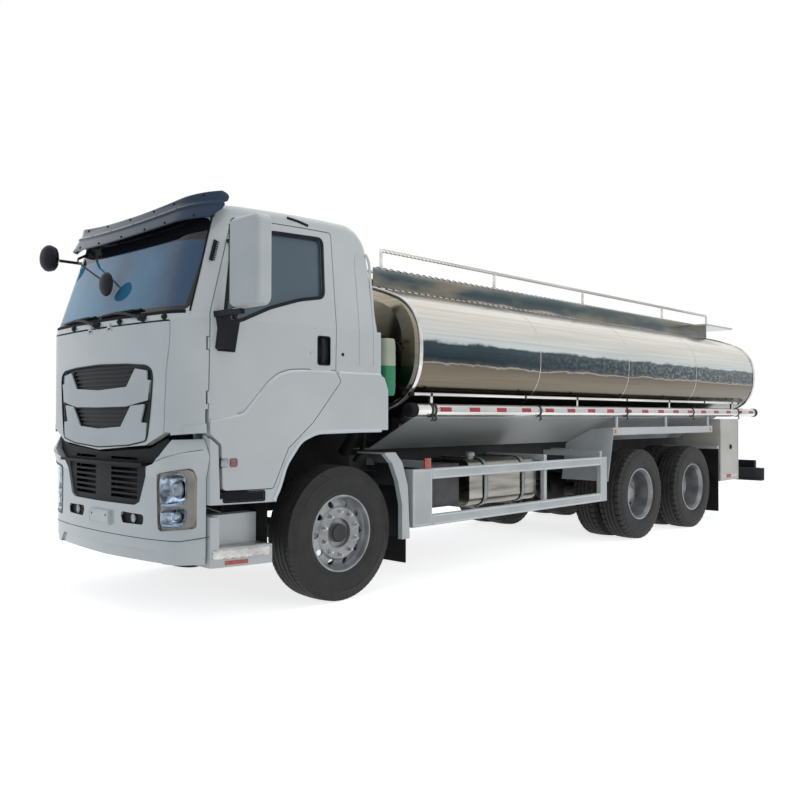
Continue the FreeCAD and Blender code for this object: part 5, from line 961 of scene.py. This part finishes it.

# Tank. Polished stainless barrel with dished ends. The sheet is brushed lengthwise, and a reflection of its
# surroundings is painted into the base colour by height, in long streaks: bright above, a dark band at the
# middle of the side, warm brown below.
TANK_HALF, TANK_HIGH, TANK_MID = 1.240, 0.658, 2.003
TANK_ENDS = ((-0.810, 1), (-7.930, -1))
# Painted reflection: heights and colours of the pale sky, dark tree and brown ground bands, painted into the
# tank's base colour.
REFLECTION_BANDS = ((1.35, (0.055, 0.050, 0.046)), (1.50, (0.060, 0.056, 0.048)), (1.62, (0.120, 0.108, 0.082)),
         (1.78, (0.155, 0.132, 0.098)), (1.875, (0.128, 0.108, 0.082)), (1.886, (0.36, 0.33, 0.28)),
         (1.897, (0.060, 0.066, 0.070)), (1.93, (0.022, 0.034, 0.042)), (2.00, (0.030, 0.050, 0.062)),
         (2.062, (0.045, 0.066, 0.076)), (2.085, (0.52, 0.57, 0.57)), (2.20, (0.60, 0.60, 0.57)),
         (2.36, (0.66, 0.63, 0.57)), (2.50, (0.80, 0.76, 0.69)), (2.60, (0.52, 0.42, 0.33)),
         (2.66, (0.30, 0.24, 0.19)))
REFLECTION_LOW, REFLECTION_SPAN = 1.30, 1.50


def tank_ring(grow=0.0, count=24):
    """The barrel's section as a closed loop of (y, z): crown, shoulder and side arcs, grown by grow."""
    crown, corner, flank = 2.5 + grow, 0.43 + grow, 1.2 + grow
    crown_z, flank_y = TANK_HIGH - 2.5, TANK_HALF - 1.2
    centre = np.array([0.80733, 0.06407])
    lean = math.atan2(centre[0], centre[1] - crown_z)
    slope = math.atan2(centre[1], centre[0] - flank_y)
    first = np.linspace(0, lean, count, endpoint=False)
    second = np.linspace(math.pi / 2 - lean, slope, count, endpoint=False)
    third = np.linspace(slope, 0, count // 2, endpoint=False)
    quarter = np.concatenate([np.stack([crown * np.sin(first), crown_z + crown * np.cos(first)], axis=-1),
                              centre + corner * np.stack([np.cos(second), np.sin(second)], axis=-1),
                              np.stack([flank_y + flank * np.cos(third), flank * np.sin(third)], axis=-1),
                              np.array([[flank_y + flank, 0.0]])])
    right = np.concatenate([quarter, quarter[-2::-1] * [1, -1]])
    return np.concatenate([right, right[-2:0:-1] * [-1, 1]]) + [0.0, TANK_MID]


def polished_tank():
    """Steel whose base colour carries a painted reflection that follows the height, with lengthwise streaks,
    a ragged edge to each band and paler painted specks in the dark band.
    """
    made, graph = new_material("PolishedTank")
    length = graph.axis("X")
    streak = graph.noise(graph.place((0.35, 3.0, 30.0)), 1.6, 6.0)
    ragged = graph.noise(graph.place((1.3, 0.3, 2.0)), 2.2, 7.0, 0.68)
    speck = graph.noise(graph.place((1.0, 0.3, 1.6)), 16.0, 8.0, 0.75)
    level = graph.math("ADD", graph.axis("Z"), graph.ranged(ragged, (-0.050, 0.050)),
                       graph.ranged(streak, (-0.012, 0.012)))
    span = graph.ranged(level, given=(REFLECTION_LOW, REFLECTION_LOW + REFLECTION_SPAN))
    tone = graph.ramp(span, *[((z - REFLECTION_LOW) / REFLECTION_SPAN, colour) for z, colour in REFLECTION_BANDS])
    # The dished ends carry a painted reflection of their own, dark low and warm pale high.
    end_reflection = graph.ramp(span, (0.15, (0.035, 0.040, 0.040)), (0.85, (0.42, 0.38, 0.29)))
    dished = graph.math("MAXIMUM", graph.math("GREATER_THAN", length, FRONT_AXLE + TANK_ENDS[0][0] + 0.0015),
                        graph.math("LESS_THAN", length, FRONT_AXLE + TANK_ENDS[1][0] - 0.0015))
    # Paler grey specks painted into the dark reflected band, growing towards the rear: part of the painted
    # reflection.
    reflected_specks = graph.math("MULTIPLY", graph.math("GREATER_THAN", level, 1.900),
                         graph.math("LESS_THAN", level, 2.066),
                         graph.ranged(speck, given=(0.47, 0.66)), graph.ranged(length, given=(1.6, -2.4)))
    colour = graph.mix(reflected_specks, graph.mix(dished, tone, end_reflection), (0.30, 0.34, 0.33, 1.0))
    fleck = graph.ranged(streak, (0.86, 1.10), (0.3, 0.7))
    graph.surface({"Base Color": graph.add("VectorMath", {0: colour, "Scale": fleck}, operation="SCALE"),
                   "Metallic": 1.0, "Roughness": graph.ranged(streak, (0.14, 0.26)),
                   "Normal": graph.relief(streak, 0.05)})
    return made


dress(polished_tank(), "tank_shell")
bright_steel = surface_finish("BrightSteel", (0.50, 0.50, 0.49), (0.78, 0.77, 0.75), (0.14, 0.28), 1.0, 3.0,
                              120.0, stretch=(0.3, 4.0, 8.0))
dress(bright_steel, "manhole_lid_front", "manhole_lid_rear", "hand_rails", "side_tubes", "rear_ladder",
      "discharge_pipe")
dress(surface_finish("FuelTank", (0.15, 0.145, 0.13), (0.36, 0.345, 0.31), (0.2, 0.34), 1.0, 3.0, 120.0,
                     stretch=(0.4, 3.0, 5.0)), "fuel_tank")
lip_steel = surface_finish("LipSteel", (0.52, 0.52, 0.52), (0.82, 0.82, 0.81), (0.16, 0.30), 0.8, 6.0, 90.0)
grids = [carried(in_plane(0, x + 0.006 * way, tank_ring(0.004)), (1, 0, 0), (0.018, 0.042, 0.007, 4), True)
         for x, way in TANK_ENDS]
made_piece("tank_rims", grids, lip_steel, sharp=50)
grids = [carried(in_plane(0, x, tank_ring(0.0006)), (1, 0, 0), (0.0018, 0.008, 0.0008, 2), True)
         for x in (-2.55, -4.30, -6.05)]
made_piece("barrel_seams", grids, lip_steel, sharp=50)


def dish_x(y, z, end, way):
    """How far the dished end stands out at (y, z): a circle's law on the share of the section."""
    ring = tank_ring() - [0.0, TANK_MID]
    angle, radius = np.arctan2(ring[:, 1], ring[:, 0]), np.hypot(ring[:, 1], ring[:, 0])
    order = np.argsort(angle)
    here = np.interp(np.arctan2(z - TANK_MID, y), angle[order], radius[order], period=2 * math.pi)
    share = np.clip(np.hypot(y, z - TANK_MID) / here, 0, 1)
    return end + way * 0.160 * np.sqrt(1 - share ** 2)


grids = []
for end, way in TANK_ENDS:
    for side in (1, -1):
        y, z = np.array([(0.965, 1.990), (0.965, 1.990), (0.980, 2.050), (1.080, 2.050), (1.095, 1.990),
                         (1.095, 1.990)]).T
        stand = np.array([-0.010, 0.034, 0.034, 0.034, 0.034, -0.010]) * way
        handle = np.column_stack([dish_x(y, z, end, way) + stand, y * side, z])
        grids.append(carried(eased(handle, 0.018, 5), (1, 0.3, 0.2), (0.014, 0.014, 0.007, 4)))
made_piece("end_handles", grids, moulded_black, sharp=50)

# Manhole fittings. Each lid has a pressed dome, a ring of wing nuts round its rim and a lifting bow.
LID_Z = 2.7673
for x, word in ((-2.800, "front"), (-5.900, "rear")):
    dome = [(0.0, 0.046), (0.070, 0.043), (0.130, 0.034), (0.170, 0.018), (0.186, 0.0), (0.0, 0.0)]
    knob = [(0.0, 0.030), (0.010, 0.029), (0.013, 0.020), (0.008, 0.014), (0.012, 0.002), (0.0, 0.0)]
    bow = np.array([(0.0, -0.075, 0.030), (0.0, -0.075, 0.075), (0.0, 0.075, 0.075), (0.0, 0.075, 0.030)])
    grids = [turned(dome, (x, 0, LID_Z), "z")]
    grids += [turned(knob, (x + 0.222 * math.cos(turn), 0.222 * math.sin(turn), LID_Z), "z", 12)
              for turn in np.radians(60 * np.arange(6) + 30)]
    grids.append(carried(eased(bow + [x, 0, LID_Z], 0.025, 6), (1, 0, 0), (0.012, 0.012, 0.006, 4)))
    made_piece(f"lid_fittings_{word}", grids, bright_steel, f"lid_{word}", sharp=45)

# Walkway. Chequered plate between two polished splash guards; the guards' base colour carries a painted
# reflection of dark trees with a pale foot and warm brown patches, and a braided weld runs where each meets
# the tank. The rails are knurled tube.
GUARD_Y, WELD_Y, WELD_Z, EDGE_Z, RAIL_Z = 0.450, 0.4575, 2.6205, 2.8055, 2.975
guard_steel, graph = new_material("GuardSteel")
cloud = graph.noise(graph.place((0.8, 0.2, 3.0)), 1.5, 6.0)
# Painted reflection by height: pale brown at the foot, dark trees across the middle, paler towards the top
# edge.
height = graph.math("ADD", graph.axis("Z"), graph.ranged(cloud, (-0.06, 0.06)))
tone = graph.ramp(graph.ranged(height, given=(2.58, 2.82)), (0.0, (0.50, 0.42, 0.32)),
                  (0.17, (0.42, 0.38, 0.32)),
                  (0.27, (0.075, 0.095, 0.100)), (0.55, (0.045, 0.070, 0.080)), (0.78, (0.080, 0.105, 0.110)),
                  (0.92, (0.16, 0.19, 0.20)), (1.0, (0.34, 0.37, 0.38)))
# Warm brown patches of painted reflection, laid over it here and there.
warm = graph.ranged(graph.noise(graph.place((0.55, 0.2, 2.2)), 2.0, 3.0), given=(0.45, 0.74))
width = graph.off_centre()
on_guard = graph.math("MULTIPLY", graph.math("GREATER_THAN", width, 0.4445),
                      graph.math("LESS_THAN", width, 0.4555))
graph.surface({"Base Color": graph.mix(on_guard, (0.42, 0.42, 0.41, 1.0),
                                       graph.mix(warm, tone, (0.27, 0.235, 0.175, 1.0))),
               "Metallic": 1.0, "Roughness": 0.22, "Normal": graph.relief(cloud, 0.04)})
dress(guard_steel, "catwalk")
knurl_shade = surface_finish("KnurlShade", (0.045, 0.042, 0.038), (0.10, 0.092, 0.080), (0.4, 0.6), 0.5, 6.0)
weld_x = np.linspace(-1.02, -8.05, 560)[:, None]
bead = 0.0065 + 0.0022 * np.sin(weld_x * 2 * math.pi / 0.05)
around = np.linspace(0, 2 * math.pi, 7, endpoint=False)[None, :]
grids = []
for side in (1, -1):
    ring = [np.broadcast_to(weld_x, (560, 7)), WELD_Y * side + bead * np.cos(around),
            WELD_Z + bead * np.sin(around)]
    grids.append(lattice(np.stack(ring, axis=-1), loop_v=True, ends=True))
    grids.append(rod((-1.0, GUARD_Y * side, EDGE_Z), (-8.09, GUARD_Y * side, EDGE_Z), (0, 0, 1),
                     (0.016, 0.008, 0.003, 3), 59))
made_piece("guard_welds", grids, lip_steel, sharp=60)
plates = [flat_sheet(2, 2.7015, (start, stop, 24), (-0.443, 0.443, 7))
          for start, stop in ((-1.005, -2.455), (-3.145, -5.555), (-6.245, -8.085))]
plates.append(flat_sheet(2, 2.7865, (-8.095, -8.355, 6), (-0.745, 0.745, 9)))
made_piece("walk_plates", plates, tread_plate, wall=0.003)


def twisted(start, stop, y, z, radius, pitch, phase, count, bar):
    """A rope wound about a line along x."""
    x = np.linspace(start, stop, count)
    turn = x * 2 * math.pi / pitch + phase
    return carried(np.stack([x, y + radius * np.cos(turn), z + radius * np.sin(turn)], axis=-1), (0, 1, 0),
                   bar)


knurls = [twisted(-1.12, -8.07, GUARD_Y * side, RAIL_Z, 0.0158, 0.11, phase, 700, (0.006, 0.006, 0.003, 2))
          for side in (1, -1) for phase in (0.0, math.pi)]
knurls += [twisted(-1.02, -8.05, y * side, z, radius, 0.090, 0.0, 900, (0.009, 0.009, 0.004, 1))
           for side in (1, -1) for y, z, radius in ((WELD_Y, WELD_Z, 0.0095), (GUARD_Y, 2.8065, 0.0080))]
made_piece("rail_knurl", knurls, knurl_shade, sharp=60)
foot = [(0.0, 0.020), (0.019, 0.020), (0.022, 0.014), (0.024, 0.0), (0.0, 0.0)]
grids = [turned(foot, (-1.100 - gap, GUARD_Y * side, 2.806), "z", 20)
         for side in (1, -1) for gap in (0.0, 1.706, 3.469, 5.547, 6.990)]
made_piece("rail_feet", grids, bright_steel)

# Hose tubes. Stainless pipes that store the delivery hoses, with black caps, double clamps and a
# red and white marking tape along the outer side; the thin rail above is clamped the same way.
TUBE_Y, TUBE_Z, RAIL_Y, THIN_Z = 1.180, 1.485, 1.172, 1.620
tape_finish, graph = new_material("MarkingTape")
cycle = graph.math("PINGPONG", graph.math("ADD", graph.axis("X"), -0.1775), 0.1975)
cloud = graph.noise(graph.place(), 9.0)
white_tape = graph.ramp(cloud, (0.0, (0.62, 0.62, 0.62)), (1.0, (0.80, 0.80, 0.80)))
red_tape = graph.ramp(cloud, (0.0, (0.32, 0.012, 0.022)), (1.0, (0.52, 0.030, 0.045)))
cells = graph.add("TexVoronoi", {"Vector": graph.place(), "Scale": 160.0}, "Distance")
graph.surface({"Base Color": graph.mix(graph.math("GREATER_THAN", cycle, 0.1225), white_tape, red_tape),
               "Roughness": 0.32, "Normal": graph.relief(cells, 0.15, 0.001)})


def tape_on_tube(start, stop, radius, side):
    """A strip on a hose tube's outer side, from start to stop along it."""
    x, turn = grid((start, stop, max(int(abs(stop - start) / 0.06), 3)), (-0.26, 0.46, 7))
    return lattice(np.stack([x, (TUBE_Y + radius * np.cos(turn)) * side,
                             TUBE_Z + radius * np.sin(turn)], axis=-1))


def hoop(x, y, z, radius, bar, side, count):
    """A ring of bar round a tube along x."""
    turn = np.linspace(0, 2 * math.pi, count, endpoint=False)
    loop = np.column_stack([(y + radius * np.cos(turn)) * side, z + radius * np.sin(turn)])
    return carried(in_plane(0, x, loop), (1, 0, 0), bar, True)


for side, word in SIDES:
    tape = [tape_on_tube(start, stop, 0.0576, side)
            for start, stop in ((-1.03, -2.54), (-2.58, -4.26), (-4.30, -5.96), (-6.00, -7.40),
                                (-7.44, -8.02))]
    made_piece(f"marking_tape_{word}", tape, tape_finish, wall=0.0006)
    clamps = []
    for x in (-0.965, -1.005, -2.56, -4.28, -5.98, -7.42):
        clamps.append(hoop(x, TUBE_Y, TUBE_Z, 0.0595, (0.006, 0.026, 0.002, 3), side, 36))
        lug = np.array([(x, 1.222, 1.436), (x, 1.238, 1.405), (x, 1.215, 1.392)]) * [1, side, 1]
        clamps.append(carried(eased(lug, 0.01), (1, 0, 0), (0.010, 0.024, 0.003, 3)))
    clamps += [hoop(x, RAIL_Y, THIN_Z, 0.0195, (0.005, 0.022, 0.002, 3), side, 24)
               for x in (-1.000, -2.37, -3.30, -4.35, -5.40, -6.40, -7.30)]
    made_piece(f"tube_clamps_{word}", clamps, chassis_dark, sharp=50)
    cap = [(0.0, 0.012), (0.040, 0.012), (0.054, 0.006), (0.0605, -0.004), (0.0605, -0.075), (0.0575, -0.078),
           (0.0, -0.078)]
    small = [(0.0, 0.006), (0.012, 0.006), (0.0195, -0.002), (0.0195, -0.040), (0.0, -0.040)]
    caps = []
    for x, thin_x, way in ((-0.710, -0.740, 1), (-8.090, -7.530, -1)):
        caps.append(turned(cap, (x, TUBE_Y * side, TUBE_Z), "x", 36, way))
        caps.append(turned(small, (thin_x, RAIL_Y * side, THIN_Z), "x", 24, way))
    made_piece(f"tube_caps_{word}", caps, soft_black)

# Body panels in white enamel. The skirts under the tubes, the guards between the wheels, the bars over
# the rear wheels and the cabinet are folded sheet, a little duller than the cab. The wings behind the
# front wheels are black inside.
body_white = surface_finish("BodyWhite", (0.52, 0.545, 0.56), (0.62, 0.64, 0.65), (0.30, 0.42),
                            scale=1.6, grain=200.0, coat=0.2)
cabinet_cream = surface_finish("CabinetCream", (0.52, 0.50, 0.45), (0.62, 0.60, 0.55), (0.32, 0.45),
                               scale=2.0, grain=180.0, coat=0.2)
amber = surface_finish("AmberLens", (0.55, 0.16, 0.010), (0.80, 0.30, 0.02), (0.10, 0.2), scale=30.0,
                       grain=300.0, bump=0.2, coat=0.8)
dress(surface_finish("SkirtGrey", (0.34, 0.36, 0.36), (0.46, 0.475, 0.47), (0.32, 0.48), scale=1.8,
                     grain=160.0, bump=0.06, stretch=(0.5, 1, 1)), "tank_skirts")
dress(surface_finish("UnderrunGrey", (0.060, 0.068, 0.070), (0.105, 0.115, 0.115), (0.4, 0.55), scale=4.0,
                     grain=150.0, bump=0.1, shine=0.3), "rear_underrun")
dress(surface_finish("GuardGrey", (0.50, 0.53, 0.54), (0.61, 0.635, 0.64), (0.30, 0.45), scale=2.2,
                     grain=180.0, bump=0.06), "side_guards")
dress(body_white, "rear_mudguards")
dress(cabinet_cream, "rear_cabinet", "cabinet_door")


def inner_wing(graph):
    return graph.math("MULTIPLY", graph.math("LESS_THAN", graph.axis("X"), FRONT_AXLE - 0.42),
                      graph.math("LESS_THAN", graph.off_centre(), 1.166))


def framed(x0, x1, z0, z1, y, ease, steps, bar):
    """A bead round a rectangle of the side wall at width y."""
    loop = eased([(x0, z0), (x1, z0), (x1, z1), (x0, z1)], ease, steps, loop=True)
    return carried(in_plane(1, y, loop), (0, math.copysign(1, y), 0), bar, True)


dress(split_finish("WingAndSteps", WHITE_PAIR, BLACK_PAIR, inner_wing), "steps_and_wings")
for side, word in SIDES:
    # The beads round the guard panels take the paler white: a painted highlight along each bead.
    lines = [framed(-0.985, -3.700, low, high, 1.2208 * side, 0.010, 3, (0.013, 0.010, 0.003, 3))
             for low, high in ((0.512, 0.578), (0.907, 0.973))]
    lines.append(framed(-0.745, -0.955, 0.515, 0.970, 1.2208 * side, 0.014, 3, (0.010, 0.006, 0.002, 3)))
    made_piece(f"guard_beads_{word}", lines, painted_highlight_white, sharp=60)
    marker = rod((-0.915, 1.2145 * side, 0.984), (-0.915, 1.2145 * side, 1.075), (0, side, 0),
                 (0.078, 0.022, 0.006, 4))
    made_piece(f"side_marker_{word}", [marker], reflector_red, sharp=50)
    board = rod((0.6935, 0.897 * side, 0.62), (0.6935, 1.135 * side, 0.62), (1, 0, 0),
                (0.47, 0.006, 0.002, 3))
    made_piece(f"step_back_{word}", [board], soft_black, sharp=50)
    button = [(0.0, 0.014), (0.014, 0.013), (0.022, 0.008), (0.025, 0.0), (0.0, 0.0)]
    made_piece(f"marker_lamps_{word}", [turned(button, (x, 1.2252 * side, 1.262), "y", 24, side)
                                        for x in (-4.02, -6.50)], amber)
    bead = rod((-4.06, 1.2252 * side, 1.236), (-6.46, 1.2252 * side, 1.236), (0, side, 0),
               (0.012, 0.006, 0.003, 3),
               10)
    made_piece(f"mudguard_bead_{word}", [bead], body_white, sharp=60)

# Cabinet door. A round dark lock with its keyhole, a strip of marking tape and a bead round the panel.
lock = [(0.0, 0.006), (0.010, 0.006), (0.013, 0.010), (0.026, 0.012), (0.034, 0.008), (0.036, 0.0),
        (0.0, 0.0)]
keyhole = [(0.0, 0.0135), (0.006, 0.0135), (0.007, 0.006), (0.0, 0.006)]
made_piece("cabinet_lock", [turned(lock, (-7.120, 1.2362, 1.010), "y", 32),
                            turned(keyhole, (-7.120, 1.2362, 1.010), "y",
                                   12)], moulded_black,
           "cabinet_door")
made_piece("cabinet_tape", [flat_sheet(1, 1.2368, (-6.81, -7.37, 12), (0.585, 0.635, 3))], tape_finish,
           "cabinet_door", wall=0.0008)
made_piece("cabinet_bead", [framed(-6.815, -7.365, 0.660, 1.365, 1.2366, 0.03, 4, (0.010, 0.006, 0.003, 3))],
           cabinet_cream, "cabinet_door", sharp=60)

# Fuel tank fittings. Two steel straps on dark rubber pads and a filler neck with its cap; the tank
# itself is polished aluminium.
FUEL_FRONT, FUEL_LENGTH = -1.600, 1.050
section = eased([(0.500, 0.600), (1.110, 0.600), (1.110, 1.030), (0.500, 1.030)], 0.115, 7, loop=True)
middle, half = section.mean(axis=0), np.array([0.305, 0.215])
bands = []
for grow, bar in ((0.010, (0.005, 0.046, 0.002, 3)), (0.006, (0.006, 0.066, 0.002, 3))):
    ring = middle + (section - middle) * (1 + grow / half)
    bands.append([carried(in_plane(0, FUEL_FRONT - FUEL_LENGTH * share, ring), (1, 0, 0), bar, True)
                  for share in (0.22, 0.78)])
neck = [(0.0, 0.070), (0.030, 0.070), (0.046, 0.064), (0.052, 0.052), (0.052, 0.030), (0.040, 0.026),
        (0.040, 0.0),
        (0.0, 0.0)]
strap_grey = surface_finish("StrapGrey", (0.20, 0.23, 0.225), (0.34, 0.37, 0.365),
                            (0.3, 0.45), 0.4, 8.0, 150.0)
made_piece("fuel_straps", bands[0] + [turned(neck, (-1.780, 0.960, 1.026), "z", 32)], strap_grey,
           sharp=45)
made_piece("fuel_strap_pads", bands[1], soft_black, sharp=45)

# Rear lamps. Ribbed lenses in three fields, red, amber and red, in black trays on the bar.
LENS_X, LENS_MID_Z = -8.380, 0.715
lenses, trays = {"red": [], "amber": []}, []
for side in (1, -1):
    for start, stop, kind in ((0.712, 0.838, "red"), (0.846, 0.956, "amber"), (0.964, 1.088, "red")):
        y, z = grid((start, stop, 33), (0.672, 0.758, 9))
        across = (y - (start + stop) / 2) / (0.5 * (stop - start) + 0.004)
        swell = 0.010 * (1 - ((z - LENS_MID_Z) / 0.045) ** 4) * (1 - across ** 8)
        rib = 0.0012 * np.sin(y * 2 * math.pi / 0.012)
        lenses[kind].append(lattice(np.stack([LENS_X - swell - rib, y * side, z], axis=-1)))
    loop = eased([(0.704, 0.664), (1.096, 0.664), (1.096, 0.766), (0.704, 0.766)], 0.012, 4, loop=True)
    trays.append(carried(in_plane(0, LENS_X, loop * [side, 1]), (1, 0, 0), (0.010, 0.012, 0.003, 3), True))
dress(moulded_black, "tail_lamps")
made_piece("tail_lenses_red", lenses["red"], reflector_red, wall=0.002)
made_piece("tail_lenses_amber", lenses["amber"], amber, wall=0.002)
made_piece("tail_trays", trays, moulded_black, sharp=50)

# Coolant tank. Blow-moulded milky bottle behind the cab, green where the coolant stands, with a black
# cap; two black hoses lead down to the engine.


def coolant_level(graph):
    return graph.math("LESS_THAN", graph.axis("Z"), 1.845)


def soft_power(value, power):
    return np.sign(value) * np.abs(value) ** power


coolant = split_finish("CoolantBottle", ((0.42, 0.46, 0.36), (0.58, 0.62, 0.50), 0.4),
                       ((0.020, 0.20, 0.095), (0.055, 0.36, 0.20), 0.35), coolant_level)
height = np.linspace(0, 1, 33)[:, None]
belly = 1 - 0.10 * np.abs(2 * height - 1) ** 6 - 0.03 * (np.abs(np.sin(height * math.pi * 4)) < 0.25)
angle = np.linspace(0, 2 * math.pi, 40, endpoint=False)
bottle = np.stack([-0.5025 + soft_power(np.cos(angle), 0.55) * 0.0720 * belly,
                   1.090 + soft_power(np.sin(angle), 0.55) * 0.1090 * belly,
                   np.broadcast_to(1.601 + 0.468 * height, (33, 40))], axis=-1)
bracket = rod((-0.437, 1.090, 1.88), (-0.340, 1.090, 1.88), (0, 0, 1), (0.09, 0.16, 0.01, 4))
bottle_piece = made_piece("coolant_bottle", [lattice(bottle, loop_v=True, ends=True), bracket],
                          coolant, sharp=50)
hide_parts("coolant_tank")
cap = [(0.0, 0.034), (0.026, 0.034), (0.034, 0.028), (0.036, 0.0), (0.0, 0.0)]
hose = eased([(-0.455, 0.93, 2.30), (-0.455, 0.93, 1.40), (-0.500, 0.86, 1.15), (-0.55, 0.70, 1.05)], 0.12, 8)
snorkel = eased([(-0.420, 0.86, 2.62), (-0.420, 0.86, 1.30), (-0.42, 0.70, 1.12)], 0.14, 8)
made_piece("coolant_hoses", [turned(cap, (-0.5025, 1.090, 2.066), "z", 28),
                             carried(smooth_path(hose, 2), (0, 1, 0), (0.040, 0.040, 0.02, 5)),
                             carried(smooth_path(snorkel, 2), (0, 1, 0),
                                     (0.10, 0.10, 0.05, 6))], soft_black,
           sharp=60)

# Cab inside. Woven grey seats with bolsters and a head rest on black bases, and a grained dashboard.
seat_cloth = surface_finish("WovenCloth", (0.050, 0.053, 0.060), (0.095, 0.10, 0.11), (0.8, 0.95), scale=30.0,
                            grain=700.0, bump=0.5, shine=0.2)
dress(surface_finish("DashGrey", (0.055, 0.057, 0.060), (0.095, 0.097, 0.10), (0.5, 0.7), scale=6.0,
                     grain=360.0, bump=0.25, shine=0.3), "dashboard")


def cushion(centre, half, lean, channels=3):
    """A crowned closed form: a rounded block whose face swells between its sewn channels."""
    u = np.linspace(0, math.pi, 33)[:, None]
    v = np.linspace(0, 2 * math.pi, 48, endpoint=False)[None, :]
    x = soft_power(np.sin(u), 0.42) * soft_power(np.cos(v), 0.42)
    y = np.broadcast_to(soft_power(np.cos(u), 0.42), x.shape)
    z = soft_power(np.sin(u), 0.42) * soft_power(np.sin(v), 0.42)
    swell = 1 + 0.042 * (1 - x ** 2) * (1 - y ** 2)
    groove = 1 - 0.05 * np.exp(-(np.sin(x * math.pi * channels / 2) / 0.12) ** 2) * (np.abs(y) < 0.62)
    spot = np.stack([x * half[0], y * half[1], z * half[2] * swell * groove], axis=-1)
    turn = np.array([[math.cos(lean), 0, -math.sin(lean)], [0, 1, 0], [math.sin(lean), 0, math.cos(lean)]])
    return lattice(spot @ turn.T + np.asarray(centre), loop_v=True)


bases = []
for y, word in ((0.56, "driver"), (-0.56, "mate")):
    for title, form in ((f"seat_pad_{word}", cushion((0.200, y, 1.556), (0.235, 0.240, 0.062), 0.05)),
                        (f"seat_back_{word}", cushion((-0.020, y, 1.870), (0.275, 0.235, 0.062), 1.78)),
                        (f"head_rest_{word}", cushion((-0.100, y, 2.140), (0.062, 0.130, 0.040), 1.78, 1))):
        made_piece(title, [form], seat_cloth, sharp=70)
    loop = eased([(0.045, y - 0.145), (0.335, y - 0.145), (0.335, y + 0.145), (0.045, y + 0.145)], 0.03, 4,
                 loop=True)
    middle = loop.mean(axis=0)
    rings = [in_plane(2, z, middle + (loop - middle) * share)
             for z, share in ((1.381, 1.0), (1.400, 1.0), (1.415, 0.90), (1.470, 0.90), (1.492, 1.03))]
    bases.append(lattice(np.stack(rings), loop_v=True, ends=True))
seat_bases = made_piece("seat_bases", bases, moulded_black, sharp=40)
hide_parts("seats")
